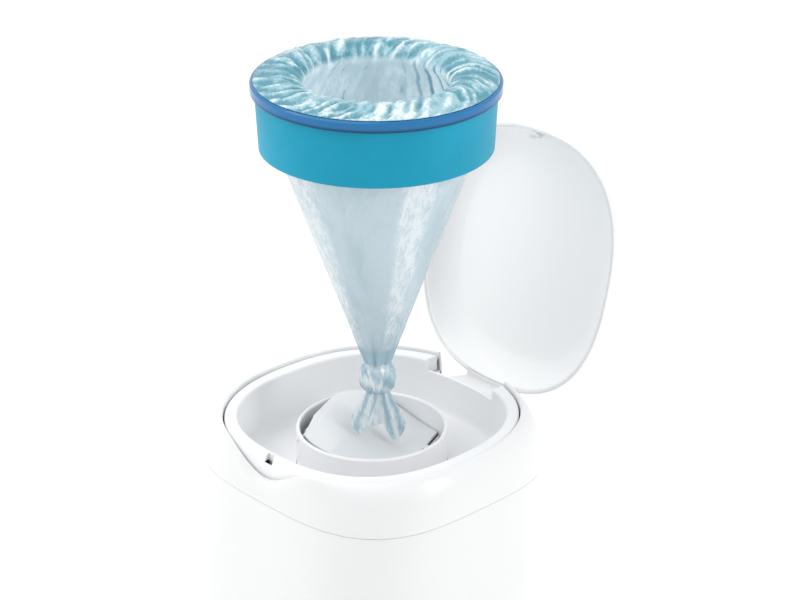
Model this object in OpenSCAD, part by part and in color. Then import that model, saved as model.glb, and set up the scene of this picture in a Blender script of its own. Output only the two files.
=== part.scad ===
// Nappy bin with its lid open and the film refill lifted off its seat.
// +Z is up, the floor is z = 0, the collar's axis is x = y = 0, and the front is -Y.

/* [Bucket] */
// Height of the seam between the bucket and the head
seam_z = 402; // [380:1:430]
// Half width of the body at the seam
seam_half_x = 122.7; // [119:0.1:132]
// Half depth of the body at the seam
seam_half_y = 115.4; // [114:0.1:124]
// Squareness of the body in plan, where 2 is an ellipse
seam_power = 3.2; // [2.8:0.1:4]
// How far each side swells below the seam
side_swell = 4; // [0:0.5:8]
// How far the front swells below the seam
front_swell = 13; // [0:0.5:14]
// Height of the bucket's widest place
swell_z = 210; // [160:1:260]
// Wall of the bucket
bucket_wall = 3; // [2:0.1:4]
// Thickness of the bucket's floor
bucket_floor = 3.5; // [2:0.1:6]
// Height of the bucket's lip inside the head
lip_rise = 5; // [3:0.5:7]

/* [Cover] */
// Height of the cover's rim above the seam
cover_rise = 39.5; // [34:0.5:44]
// How far the groove between cover and tray lies inside the seam at the sides
groove_in_x = 13.4; // [12:0.1:17]
// How far the groove lies inside the seam in front and behind
groove_in_y = 1.8; // [0.6:0.1:4]
// Squareness of the groove in plan
groove_power = 2.3; // [2.1:0.1:2.6]
// Width of the groove
groove_gap = 1.2; // [0.8:0.1:2]
// Wall of the cover
cover_wall = 2.6; // [2:0.1:3]
// Depth of the turned-down lip along the rim
rim_lip = 9; // [6:0.5:12]
// Depth of the finger scoop in front
scoop_depth = 19; // [8:0.5:22]
// Half width of the finger scoop
scoop_half = 54; // [40:1:60]

/* [Tray] */
// How far the lid's ledge lies below the rim
ledge_drop = 2; // [1:0.5:3]
// Width of the ledge at the sides
ledge_side = 11.8; // [9:0.1:12.4]
// Width of the ledge in front and behind
ledge_end = 13.6; // [11:0.1:15]
// Squareness of the well in plan
well_power = 2.5; // [2.2:0.1:2.8]
// How far the well narrows towards its floor
well_draft = 2; // [0:0.5:2.4]
// Depth of the well's floor below the collar's top
well_depth = 32; // [28:1:38]
// Wall of the tray
tray_wall = 2.4; // [1.8:0.1:3]

/* [Collar and clamp] */
// Outer radius of the collar
collar_radius = 60; // [58:0.5:60.5]
// Wall of the collar
collar_wall = 3; // [2:0.1:4]
// Height of the collar's top above the seam
collar_rise = 26; // [22:0.5:30]
// Direction of the clamp flap's swing, turned from +X
flap_turn = 24; // [0:1:45]
// Distance from the collar's axis to the flap's hinge edge
flap_back = 45; // [42:0.5:45.5]
// Distance from the collar's axis to the flap's free edge
flap_front = 40; // [30:0.5:44]
// Height of the flap's crest above the collar's top
flap_crest = 5; // [0:0.5:6]
// Depth of the flap's trough below the collar's top
flap_trough = 19; // [10:0.5:20]
// Thickness of the flap
flap_thick = 2; // [1.6:0.1:3]
// How far the flap swings open
flap_swing = 35; // [25:1:60]
// Radius of the flap's pin
flap_pin_radius = 1.5; // [1.2:0.1:1.8]

/* [Lid] */
// How far the lid's edge lies inside the groove at the sides
lid_in_x = 7.6; // [6:0.1:9]
// How far the lid's edge lies inside the groove over its length, on average
lid_in_y = 5.6; // [4.6:0.1:7]
// Squareness of the lid in plan
lid_power = 2.5; // [2.2:0.1:2.8]
// Height of the lid's dome
dome_rise = 36; // [34:1:48]
// How fast the dome's plan narrows with height, from 0.5 for full shoulders to 1 for an ellipse
dome_fall = 0.68; // [0.5:0.01:0.75]
// Wall of the lid
lid_wall = 2.4; // [1.8:0.1:2.6]
// Angle that the lid stands open
lid_open = 103.6; // [90:0.1:110]
// Half width of the lid's hinge tongue
tongue_half = 29; // [20:1:31]
// Radius of the lid's hinge pin
lid_pin_radius = 1.5; // [1.2:0.1:1.6]

/* [Refill] */
// How far the refill is lifted off its seat
refill_lift = 268.4; // [240:1:300]
// Sideways reach of the lifted refill from the collar's axis
lift_x = 3.2; // [0:0.1:4]
// Backward reach of the lifted refill from the collar's axis
lift_y = 3.4; // [0:0.1:4]
// How far the refill's rim band stands out over the label
band_overhang = 3.3; // [2:0.1:4]
// Height of the refill's rim band
band_height = 8.4; // [6:0.1:10]
// Outer radius of the label at its top
label_top_radius = 91.1; // [90:0.1:92]
// How much narrower the label's foot is than its top, in radius
label_draft = 2.3; // [1:0.1:4]
// Height of the label
label_height = 44.1; // [38:0.1:48]
// Width of the refill's ring at the top, from label to opening
ring_top_w = 27.1; // [24:0.1:27.6]
// Width of the refill's ring at the foot
ring_foot_w = 10.3; // [9:0.1:12]
// Height of the gathered film above the rim band
film_crest = 6; // [4:0.5:9]
// How far the gathered film reaches into the opening
film_in = 9.5; // [4:0.5:10]
// Height of the film's knot above the collar's top
knot_above_collar = 42.7; // [38:0.5:60]
// Radius of the film's knot
knot_radius = 14.5; // [10:0.5:18]

/* [Head hinge] */
// Distance of the head's hinge behind the body
hinge_back = 6; // [5.5:0.1:8]
// Distance of the head's hinge below the seam
hinge_drop = 5; // [5:0.1:7]
// Radius of the head's hinge pin
head_pin_radius = 2.5; // [2:0.1:3]

/* [Hidden] */

$fn = 96;
ring_n = 72;          // points round each lofted ring
fit = 0.3;            // clearance between pieces that don't turn in each other
seat = 0.1;           // clearance of a face that rests on another
pin_fit = 0.05;       // radial clearance of a pin in a fixed bore
turn_fit = 0.1;       // radial clearance of a pin in a turning bore
cut = 20;             // reach of a cut past what it cuts
skin_t = 1.2;         // thickness of the film's solid

groove_half_x = seam_half_x - groove_in_x;
groove_half_y = seam_half_y - groove_in_y;
well_half_x = groove_half_x - ledge_side;
well_half_y = groove_half_y - ledge_end;
rim_z = seam_z + cover_rise;
ledge_z = rim_z - ledge_drop;
collar_top = seam_z + collar_rise;
well_floor = collar_top - well_depth;
tray_under = well_floor - tray_wall;
collar_bore = collar_radius - collar_wall;

// lid, closed, about its hinge
lid_half_x = groove_half_x - lid_in_x;
lid_half_y = groove_half_y - lid_in_y;
lid_hinge_y = groove_half_y - 2.6;
lid_hinge_z = rim_z - 23;
lid_edge_z = ledge_z + 0.4;
lid_centre_y = -2.5;
lid_back_y = lid_centre_y + lid_half_y;
barrel_radius = lid_pin_radius + 2;
tongue_thick = 8;
pocket_half = tongue_half + 9;
pocket_lip_z = rim_z - 12;
boss_w = 5;

// head hinge
head_y = seam_half_y + hinge_back;
head_z = seam_z - hinge_drop;
knuckle_radius = head_pin_radius + 1.8;
knuckle_half = 20;
lug_w = 12;
lug_gap = 0.6;
seam_gap = 0.4;

// refill, on its own axis
band_radius = label_top_radius + band_overhang;
label_foot_radius = label_top_radius - label_draft;
mouth_radius = label_top_radius - ring_top_w;
skirt_radius = label_foot_radius - ring_foot_w;
refill_z = well_floor + 0.4 + refill_lift;
band_z = refill_z + label_height;
band_top = band_z + band_height;
crest_z = band_top + film_crest;
knot_z = collar_top + knot_above_collar;
neck_radius = 9.5;
film_radius = skirt_radius - 0.7;

function smooth(x) = let (c = min(1, max(0, x))) c * c * (3 - 2 * c);
function mix(a, b, f) = a + (b - a) * f;

// Radius of a superellipse at angle t, and a level ring of points on it
function reach(t, a, b, p) = pow(pow(abs(cos(t)) / a, p) + pow(abs(sin(t)) / b, p), -1 / p);
function polar(t, r, z, cy = 0) = [r * cos(t), cy + r * sin(t), z];
function ring(a, b, p, z, cy = 0, n = ring_n) =
  [for (i = [0:n - 1]) let (t = 360 * i / n) polar(t, reach(t, a, b, p), z, cy)];

function back(v) = [for (i = [len(v) - 1:-1:0]) v[i]];

// Solid through rings of equal point count, outside going up and inside going down;
// it is capped at both ends, or closed on itself
module skin(rings, closed = false) {
  n = len(rings[0]);
  m = len(rings);
  points = [for (r = rings) for (p = r) p];
  sides = [for (j = [0:closed ? m - 1 : m - 2]) for (i = [0:n - 1])
    let (a = j * n + i, b = j * n + (i + 1) % n, c = ((j + 1) % m) * n + i,
         d = ((j + 1) % m) * n + (i + 1) % n)
    each [[a, c, b], [b, c, d]]];
  caps = closed ? [] : [[for (i = [0:n - 1]) i], [for (i = [n - 1:-1:0]) (m - 1) * n + i]];
  polyhedron(points, concat(sides, caps));
}

// ---- bucket ----
function swell(z) = z > seam_z ? 0 : 1 - pow((z - swell_z) / (seam_z - swell_z), 2);
function body_ring(z, inset, round = 0) =
  let (s = swell(z) * front_swell / 2)
  ring(seam_half_x + side_swell * swell(z) - inset - round,
       seam_half_y + s - inset - round, seam_power, z, -s);

module bucket_shell() {
  top = seam_z - seam_gap;
  lip_out = cover_wall + 0.6;
  lip_in = lip_out + 1.8;
  skin([
    body_ring(0, 6), body_ring(1.2, 2.6), body_ring(4.5, 0.5), body_ring(9, 0),
    for (k = [0:5]) body_ring(mix(45, top - 30, k / 5), 0),
    body_ring(top, 0), body_ring(top, lip_out), body_ring(seam_z + lip_rise, lip_out + 0.2),
    body_ring(seam_z + lip_rise, lip_in), body_ring(top - 6, lip_in), body_ring(top - 12, bucket_wall),
    for (k = [4:-1:0]) body_ring(mix(45, top - 30, k / 5), bucket_wall),
    body_ring(9, bucket_wall + 0.5), body_ring(bucket_floor, bucket_wall + 5)]);
}

module bucket() color("white") {
  bore = head_pin_radius + pin_fit;
  for (side = [-1, 1])
    difference() {
      translate([side * (knuckle_half + lug_gap + lug_w / 2), 0, 0]) union() {
        translate([-lug_w / 2, seam_half_y - 1.5, head_z - 12])
          cube([lug_w, hinge_back + 1.5, 12 + knuckle_radius]);
        translate([-lug_w / 2, head_y, head_z]) rotate([0, 90, 0]) cylinder(r = knuckle_radius, h = lug_w);
      }
      translate([-cut * 3, head_y, head_z]) rotate([0, 90, 0]) cylinder(r = bore, h = cut * 6);
    }
  bucket_shell();
}

module head_hinge_pin() color("silver")
  translate([-knuckle_half - lug_gap - lug_w, head_y, head_z]) rotate([0, 90, 0])
    cylinder(r = head_pin_radius, h = 2 * (knuckle_half + lug_gap + lug_w));

// A clip on the bucket's front lip, with a ridge that the cover's tab springs past
catch_half = 9;
lip_in_y = -(seam_half_y - cover_wall - 0.6 - 1.8);
tab_y = lip_in_y + 3.2;
module head_catch() color("gainsboro")
  translate([-catch_half, 0, 0]) {
    translate([0, lip_in_y + 0.1, seam_z - 6]) cube([2 * catch_half, 1.4, 6 + lip_rise - 0.5]);
    translate([0, lip_in_y + 0.1, seam_z - 5]) cube([2 * catch_half, 2.4, 1.6]);
  }

// ---- head ----
scoop_draw = 3.5;     // how far the scoop draws the rim in
function dip(x) = abs(x) < scoop_half ? 0.5 + 0.5 * cos(180 * x / scoop_half) : 0;
function front_dip(t, r) = sin(t) < 0 ? dip(r * cos(t)) : 0;
function groove_r(t, out) =
  reach(t, groove_half_x + out, groove_half_y + out, groove_power);
function seam_r(t, inset) = reach(t, seam_half_x - inset, seam_half_y - inset, seam_power);

// How much room the turned-down lip has: none where the wall stands upright under the rim
function lip_room(t) = smooth((seam_r(t, 0) - groove_r(t, groove_gap / 2) - 2) / 6);
// Point of the cover's wall: u = 0 at the seam and 90 at the rim
function cover_point(t, u, inside) =
  let (edge = groove_r(t, groove_gap / 2), d = front_dip(t, edge), inset = inside ? cover_wall : 0,
       foot_r = seam_r(t, inset), rim_r = edge + (inside ? 0.3 + 1.6 * lip_room(t) : 1.8),
       top = rim_z - scoop_depth * d - inset,
       hollow = scoop_draw * d * smooth((u - 35) / 40))
  polar(t, mix(foot_r, rim_r, 1 - cos(u)) - hollow, seam_z + (top - seam_z) * sin(u));
function cover_ring(u, inside) =
  [for (i = [0:ring_n - 1]) cover_point(360 * i / ring_n, u, inside)];
// Ring on the rim's inner side; foot = true is the foot of the turned-down lip
function rim_ring(out, down, foot = false) = [for (i = [0:ring_n - 1])
  let (t = 360 * i / ring_n, edge = groove_r(t, groove_gap / 2), d = front_dip(t, edge),
       room = lip_room(t), drop = foot ? mix(2.2, rim_lip, room) : down)
  polar(t, edge + (foot ? 0.02 + out * room : out) - scoop_draw * d, rim_z - scoop_depth * d - drop)];

module cover_skin() skin(concat(
  [for (u = [0, 12, 26, 40, 54, 68, 80, 90]) cover_ring(u, false)],
  [rim_ring(0.6, 0.4), rim_ring(0, 1.4), rim_ring(0, 0, true), rim_ring(1.6, 0, true)],
  [for (u = [84, 68, 50, 32, 15, 0]) cover_ring(u, true)]), closed = true);

post_angles = [45, 135, 225, 315];
post_r = groove_r(45, groove_gap / 2) + 6;
post_drop = 24;
post_foot = ledge_z - post_drop;
post_radius = 4;
ear_thick = 3;
ear_width = 10;
screw_radius = 1.7;
screw_long = 13;
head_radius = 3.5;
head_thick = 2;
// Height of the cover's outside over a point on the diagonal
function cover_over(r) =
  let (foot = seam_r(45, 0), top = groove_r(45, groove_gap / 2 + 1.8),
       f = min(1, max(0, (foot - r) / (foot - top))))
  seam_z + cover_rise * sin(acos(1 - f));
post_top = cover_over(post_r + post_radius) - 0.8;

module cover_posts() {
  for (t = post_angles) translate([post_r * cos(t), post_r * sin(t), 0])
    difference() {
      translate([0, 0, post_foot]) cylinder(r = post_radius, h = post_top - post_foot, $fn = 32);
      translate([0, 0, post_foot - 1])
        cylinder(r = screw_radius + pin_fit, h = screw_long, $fn = 32);
    }
}

// Blocks beside the hinge pocket that hold the lid's pin
module pin_bosses() {
  for (side = [-1, 1])
    translate([side * (pocket_half + boss_w / 2) - boss_w / 2, lid_hinge_y - 5, lid_hinge_z - 6])
      cube([boss_w, 5 + lid_pin_radius + 0.4, 12]);
}

module top_cover() color("white") {
  difference() {
    union() {
      cover_skin();
      pin_bosses();
    }
    translate([-pocket_half, lid_hinge_y - 12, lid_hinge_z - 8])
      cube([2 * pocket_half, 12 + cut, cut * 2]);
    translate([-pocket_half - boss_w - fit, lid_hinge_y, lid_hinge_z]) rotate([0, 90, 0])
      cylinder(r = lid_pin_radius + pin_fit, h = 2 * (pocket_half + boss_w + fit));
  }
  cover_posts();
  // knuckle of the head's hinge
  difference() {
    union() {
      translate([-knuckle_half, head_y, head_z]) rotate([0, 90, 0])
        cylinder(r = knuckle_radius, h = 2 * knuckle_half);
      translate([-knuckle_half, seam_half_y - 1.6, seam_z + 0.4])
        cube([2 * knuckle_half, hinge_back + 1.6 + knuckle_radius, 7]);
      translate([-knuckle_half, head_y - 2, head_z])
        cube([2 * knuckle_half, knuckle_radius + 2, hinge_drop + 1]);
    }
    translate([-cut * 2, head_y, head_z]) rotate([0, 90, 0])
      cylinder(r = head_pin_radius + turn_fit, h = cut * 4);
  }
  // tab that springs past the bucket's catch
  translate([-catch_half, tab_y, seam_z - 7]) cube([2 * catch_half, 1.8, lip_rise + 11]);
  translate([-catch_half, -seam_half_y + 1.2, seam_z + lip_rise + 1])
    cube([2 * catch_half, tab_y + seam_half_y, 3]);
}

function well_ring(out, z) =
  let (f = smooth((z - well_floor) / (ledge_z - well_floor)))
  ring(well_half_x + out - well_draft * (1 - f), well_half_y + out - well_draft * (1 - f),
       well_power, z);
// Ring on the ledge: f = 0 at the well's mouth and 1 at the groove, with a rounded nose over the scoop
function ledge_ring(f, down, nose) = [for (i = [0:ring_n - 1])
  let (t = 360 * i / ring_n, edge = groove_r(t, -groove_gap / 2), d = front_dip(t, edge))
  polar(t, mix(reach(t, well_half_x, well_half_y, well_power), edge - scoop_draw * d, f),
        ledge_z - down - nose * scoop_depth * d)];
function edge_ring(inset, down, nose) = [for (i = [0:ring_n - 1])
  let (t = 360 * i / ring_n, edge = groove_r(t, -groove_gap / 2), d = front_dip(t, edge))
  polar(t, edge - scoop_draw * d - inset, ledge_z - down - nose * scoop_depth * d)];

module tray_shell() {
  hole = ring(collar_radius + fit, collar_radius + fit, 2, tray_under);
  hole_top = ring(collar_radius + fit, collar_radius + fit, 2, well_floor);
  skin(back([
    hole, hole_top,
    well_ring(-6, well_floor), well_ring(-1.8, well_floor + 1.6), well_ring(0, well_floor + 6),
    well_ring(0, ledge_z - 8), well_ring(0, ledge_z - 2.5), well_ring(0.6, ledge_z - 0.7),
    ledge_ring(0.25, 0, 0), ledge_ring(0.62, 0, 0.12), edge_ring(1.8, 0, 0.37),
    edge_ring(0.5, 0.5, 0.63), edge_ring(0, 1.8, 0.84), edge_ring(0, 8, 0.92),
    edge_ring(2, 8, 0.92), edge_ring(2.2, 3.6, 0.92), well_ring(tray_wall + 0.6, ledge_z - 6.5),
    well_ring(tray_wall, ledge_z - 9), well_ring(tray_wall, well_floor + 5),
    well_ring(tray_wall - 4, tray_under)]), closed = true);
}

slot_y = lid_centre_y - lid_half_y + 5.2;
slot_w = 8;
slot_l = 4.6;
clip_thick = 1.2;
ear_inner = reach(45, well_half_x, well_half_y, well_power);
ear_outer = post_r + 5;

module cassette_tray() color("whitesmoke") difference() {
  union() {
    tray_shell();
    for (t = post_angles) rotate(t)
      translate([ear_inner, -ear_width / 2, post_foot - ear_thick])
        cube([ear_outer - ear_inner, ear_width, ear_thick - seat]);
    for (t = post_angles) rotate(t) translate([housing_bolt_r, 0, boss_foot])
      cylinder(r = post_radius, h = tray_under - boss_foot + 0.5, $fn = 32);
  }
  // the lid's latch slot, wider below for the clip
  translate([-slot_w / 2, slot_y - slot_l / 2, ledge_z - cut]) cube([slot_w, slot_l, 2 * cut]);
  translate([-slot_w / 2 - clip_thick - fit, slot_y - slot_l / 2, ledge_z - cut - 6])
    cube([slot_w + 2 * (clip_thick + fit), slot_l, cut]);
  // the hinge pocket, with a low lip towards the well
  translate([-pocket_half, well_half_y - 12, pocket_lip_z]) cube([2 * pocket_half, cut * 2, cut]);
  translate([-pocket_half - boss_w - 1, lid_hinge_y - 6, lid_hinge_z - 8])
    cube([2 * (pocket_half + boss_w + 1), cut, ledge_z - 5 - lid_hinge_z + 8]);
  translate([-pocket_half, lid_hinge_y - 6, lid_hinge_z - 8]) cube([2 * pocket_half, cut, cut * 2]);
  for (t = post_angles) rotate(t) {
    translate([post_r, 0, post_foot - cut]) cylinder(r = 2, h = 2 * cut, $fn = 32);
    translate([housing_bolt_r, 0, boss_foot - 1]) cylinder(r = 1.8, h = 1 + boss_depth, $fn = 32);
  }
}

module screw(shank_r, shank_h, head_r, head_h) {
  translate([0, 0, -seat - 0.01]) cylinder(r = shank_r, h = shank_h + seat, $fn = 32);
  translate([0, 0, -head_h - seat]) difference() {
    cylinder(r = head_r, h = head_h, $fn = 32);
    for (a = [0, 90]) rotate(a) translate([-head_r * 0.6, -0.4, -0.1]) cube([head_r * 1.2, 0.8, 1]);
  }
}

module tray_screws() color("silver")
  for (t = post_angles) rotate(t) translate([post_r, 0, post_foot - ear_thick])
    screw(screw_radius, screw_long, head_radius, head_thick);

// ---- collar and clamp ----
collar_skirt = 10;
collar_foot = tray_under - collar_skirt;
flange_z = tray_under - 0.1;
flange_h = 2;
flange_r = collar_radius + 5;
boss_foot = tray_under - 2.4;
boss_depth = 4;
bolt_out = 13;
housing_bolt_r = collar_radius + bolt_out;
housing_top = boss_foot - seat;
housing_h = 9;
flap_axis_s = -flap_back - 1.2;
flap_axis_z = collar_top - 6;
flap_barrel_r = flap_pin_radius + 1.3;
flap_barrel_half = sqrt(pow(collar_bore, 2) - pow(flap_axis_s, 2)) - 11.4;
flap_pin_half = sqrt(pow(collar_radius, 2) - pow(flap_axis_s, 2)) - 0.6;

module collar() color("whitesmoke") difference() {
  union() {
    rotate_extrude() polygon([
      [collar_bore, collar_foot], [collar_radius, collar_foot], [collar_radius, collar_top - 1.2],
      [collar_radius - 0.9, collar_top], [collar_bore + 0.9, collar_top], [collar_bore, collar_top - 1.2]]);
    translate([0, 0, flange_z - flange_h]) difference() {
      cylinder(r = flange_r, h = flange_h);
      translate([0, 0, -1]) cylinder(r = collar_radius - 1, h = flange_h + 2);
    }
  }
  rotate(flap_turn) translate([flap_axis_s, -cut * 4, flap_axis_z]) rotate([-90, 0, 0])
    cylinder(r = flap_pin_radius + pin_fit, h = cut * 8);
}

module clamp_housing() color("gainsboro") difference() {
  union() {
    translate([0, 0, housing_top - housing_h]) cylinder(r = flange_r + 1.5, h = housing_h);
    for (t = post_angles) rotate(t) {
      translate([0, -5.5, housing_top - 5]) cube([housing_bolt_r, 11, 5]);
      translate([housing_bolt_r, 0, housing_top - 5]) cylinder(r = 5.5, h = 5, $fn = 48);
    }
  }
  translate([0, 0, housing_top - cut]) cylinder(r = collar_radius + fit, h = 2 * cut);
  for (t = post_angles) rotate(t) translate([housing_bolt_r, 0, housing_top - cut])
    cylinder(r = 2, h = 2 * cut, $fn = 32);
}

module housing_screws() color("silver")
  for (t = post_angles) rotate(t) translate([housing_bolt_r, 0, housing_top - 5])
    screw(screw_radius, 5 + boss_depth - 0.6, head_radius - 0.1, head_thick);

// Height of the flap's upper face: a crest at the hinge edge that falls to a trough before the free edge
function flap_z(s) =
  let (mean = (flap_crest - flap_trough) / 2, half = (flap_crest + flap_trough) / 2)
  collar_top + mean - half * sin(180 * (s + 5) / 66);
// Half length of the flap at s, clear of the collar's bore over the whole swing
function flap_reach(s) =
  let (swung = flap_axis_s + (s - flap_axis_s) * cos(flap_swing) - 1.5)
  sqrt(pow(collar_bore - 1, 2) - pow(max(abs(s) + 0.3, abs(swung)), 2));
flap_n = 12;

module flap_plate() {
  rows = [for (i = [0:flap_n]) let (s = mix(-flap_back, flap_front, i / flap_n), h = flap_reach(s))
    [for (j = [0:flap_n]) [s, mix(-h, h, j / flap_n), flap_z(s)]]];
  n = flap_n + 1;
  top = [for (r = rows) for (p = r) p];
  low = [for (p = top) [p[0], p[1], p[2] - flap_thick]];
  k = n * n;
  rim = concat([for (j = [0:n - 2]) j], [for (i = [0:n - 2]) i * n + n - 1],
    [for (j = [n - 1:-1:1]) (n - 1) * n + j], [for (i = [n - 1:-1:1]) i * n]);
  m = len(rim);
  polyhedron(concat(top, low), concat(
    [for (i = [0:n - 2]) for (j = [0:n - 2]) let (a = i * n + j)
      each [[a, a + 1, a + n], [a + 1, a + n + 1, a + n]]],
    [for (i = [0:n - 2]) for (j = [0:n - 2]) let (a = k + i * n + j)
      each [[a, a + n, a + 1], [a + 1, a + n, a + n + 1]]],
    [for (i = [0:m - 1]) let (a = rim[i], b = rim[(i + 1) % m]) each [[a, a + k, b], [b, a + k, b + k]]]));
}

module clamp_flap() color("gainsboro") rotate(flap_turn) difference() {
  union() {
    flap_plate();
    translate([flap_axis_s, -flap_barrel_half, flap_axis_z]) rotate([-90, 0, 0])
      cylinder(r = flap_barrel_r, h = 2 * flap_barrel_half, $fn = 48);
    translate([flap_axis_s - 0.6, -flap_barrel_half, flap_axis_z])
      cube([2.6, 2 * flap_barrel_half, flap_z(-flap_back + 0.4) - flap_thick / 2 - flap_axis_z]);
  }
  translate([flap_axis_s, -cut * 4, flap_axis_z]) rotate([-90, 0, 0])
    cylinder(r = flap_pin_radius + turn_fit, h = cut * 8);
}

module flap_pin() color("silver") rotate(flap_turn)
  translate([flap_axis_s, -flap_pin_half, flap_axis_z]) rotate([-90, 0, 0])
    cylinder(r = flap_pin_radius, h = 2 * flap_pin_half);

spring_r = flap_barrel_r - 0.2;
spring_w = 6;
jaw_top = collar_top - 20;
module flap_spring() color("silver") rotate(flap_turn)
  translate([flap_axis_s, flap_barrel_half + 0.4, flap_axis_z]) rotate([-90, 0, 0]) difference() {
    cylinder(r = spring_r, h = spring_w);
    translate([0, 0, -1]) cylinder(r = flap_pin_radius + 0.2, h = spring_w + 2);
  }

jaw_gap = 1;
jaw_tab = [7, 6.5, 9];
module clamp_jaw() color("white") intersection() {
  rotate(flap_turn) union() {
    translate([flap_front + jaw_gap, -cut * 3, collar_foot + 1]) cube([2, cut * 6, jaw_top - collar_foot - 1]);
    translate([flap_front + jaw_gap + 1, 3, jaw_top - 3]) cube(jaw_tab);
  }
  translate([0, 0, collar_foot]) cylinder(r = collar_bore - 0.2, h = collar_top - collar_foot);
}

cutter_y = -(collar_radius + 3.2);
cutter_top = housing_top - housing_h - seat;
holder_w = 34;
holder_h = 14;
module cutter_holder() color("white") difference() {
  translate([-holder_w / 2, cutter_y - 3.2, cutter_top - holder_h]) cube([holder_w, 6.4, holder_h]);
  translate([-11.2, cutter_y - 0.4, cutter_top - 15]) cube([22.4, 0.8, 12]);
  translate([-6, cutter_y - 4, cutter_top - 15]) cube([12, 8, 7]);
}

module cutter_blade() color("silver")
  translate([-11, cutter_y - 0.3, cutter_top - 12]) difference() {
    cube([22, 0.6, 8.8]);
    translate([11, -1, -1.5]) rotate([0, 45, 0]) cube([4, 3, 4], center = false);
  }

module latch_clip() color("silver") translate([0, slot_y - 2, ledge_z - 13])
  for (side = [-1, 1]) translate([side * (slot_w + clip_thick) / 2 - clip_thick / 2, 0, 0])
    cube([clip_thick, 4, 6.7]);

// ---- lid ----
module lid_pose() {
  translate([0, lid_hinge_y, lid_hinge_z]) rotate([-lid_open, 0, 0])
    translate([0, -lid_hinge_y, -lid_hinge_z]) children();
}

function dome_ring(u, inset) =
  ring((lid_half_x - inset) * pow(cos(u), dome_fall), (lid_half_y - inset) * pow(cos(u), dome_fall),
       lid_power, lid_edge_z + (dome_rise - inset) * sin(u), lid_centre_y);

dome_inside = [for (u = [0, 10, 21, 32, 44, 56, 68, 78, 86]) dome_ring(u, lid_wall)];
module dome_hollow() skin(dome_inside);

module lid_shell() color("white") lid_pose() {
  lid_skin();
  difference() {
    union() {
      translate([-tongue_half, lid_back_y - 6, lid_edge_z + 0.5])
        cube([2 * tongue_half, lid_hinge_y + tongue_thick / 2 - lid_back_y + 6, 6]);
      translate([-tongue_half, lid_hinge_y - tongue_thick / 2, lid_hinge_z])
        cube([2 * tongue_half, tongue_thick, lid_edge_z + 1 - lid_hinge_z]);
      translate([-tongue_half, lid_hinge_y, lid_hinge_z]) rotate([0, 90, 0])
        cylinder(r = barrel_radius, h = 2 * tongue_half);
    }
    translate([-cut * 3, lid_hinge_y, lid_hinge_z]) rotate([0, 90, 0])
      cylinder(r = lid_pin_radius + turn_fit, h = cut * 6);
    dome_hollow();
  }
}

module lid_skin() skin(concat(back(dome_inside), [dome_ring(0, 0.8)],
  [for (u = [1.5, 10, 20, 31, 42, 53, 64, 74, 82, 87]) dome_ring(u, 0)]));

// Inner pan of the lid: a flat floor in a sloping wall
liner_thick = 1.5;
liner_foot = 2.4;
liner_fit = 0.4;
liner_drop = 15;
function floor_ring(f, inset, z) =
  ring(lid_half_x * f - inset, lid_half_y * f - inset, lid_power, lid_edge_z + z, lid_centre_y);
module lid_liner() color("whitesmoke") lid_pose() {
  out = lid_wall + liner_fit;
  in = out + liner_thick;
  foot = asin((liner_foot + 0.3) / (dome_rise - out));
  deep = dome_rise - liner_drop;
  skin([
    floor_ring(0.3, 0, deep + 1), floor_ring(0.6, 0, deep + 0.7), floor_ring(0.78, 0.9, deep),
    floor_ring(0.845, 1.2, deep - 2.8), dome_ring(31, in), dome_ring(20, in), dome_ring(13, in), dome_ring(foot + 1, in),
    dome_ring(foot, out), dome_ring(20, out), dome_ring(31, out), floor_ring(0.845, 0, deep - 1.6),
    floor_ring(0.78, 0, deep + 1.5), floor_ring(0.6, 0, deep + 2.2), floor_ring(0.3, 0, deep + 2.5)]);
}

hook_w = 6;
module lid_hook() color("gainsboro") lid_pose() {
  translate([-hook_w / 2, slot_y - 1.4, lid_edge_z - 6]) cube([hook_w, 2.2, liner_foot + 6 - seat]);
  translate([-hook_w / 2, slot_y - 1.4, lid_edge_z - 6]) cube([hook_w, 3, 1.4]);
}

module lid_hinge_pin() color("silver")
  translate([-pocket_half - boss_w, lid_hinge_y, lid_hinge_z]) rotate([0, 90, 0])
    cylinder(r = lid_pin_radius, h = 2 * (pocket_half + boss_w));

// ---- refill ----
module refill_axis() translate([lift_x, lift_y, 0]) children();

label_t = 0.8;
tub_wall = 2;
module cassette_tub() color("steelblue") refill_axis() {
  foot = label_foot_radius - label_t - 0.1;
  top = label_top_radius - label_t - 0.1;
  rotate_extrude() polygon([
    [skirt_radius, refill_z], [foot, refill_z], [top, band_z], [top, band_top - 2],
    [top - tub_wall, band_top - 2], [foot - tub_wall, refill_z + tub_wall],
    [skirt_radius + tub_wall - 0.4, refill_z + tub_wall], [mouth_radius + tub_wall, band_z - 1],
    [mouth_radius + 0.6, band_z + 1], [mouth_radius, band_z]]);
}

module cassette_rim() color("steelblue") refill_axis()
  rotate_extrude() polygon([
    [label_top_radius + 0.2, band_z + 0.2], [band_radius - 0.8, band_z], [band_radius, band_z + 0.8],
    [band_radius, band_top - 1.2], [band_radius - 1.2, band_top], [label_top_radius - 8, band_top],
    [label_top_radius - 8, band_top - 1.6], [label_top_radius + 0.2, band_top - 1.6]]);

module cassette_label() color("darkturquoise") refill_axis()
  rotate_extrude() polygon([
    [label_foot_radius - label_t, refill_z], [label_foot_radius, refill_z],
    [label_top_radius, band_z], [label_top_radius - label_t, band_z]]);

folds = 9;
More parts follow.
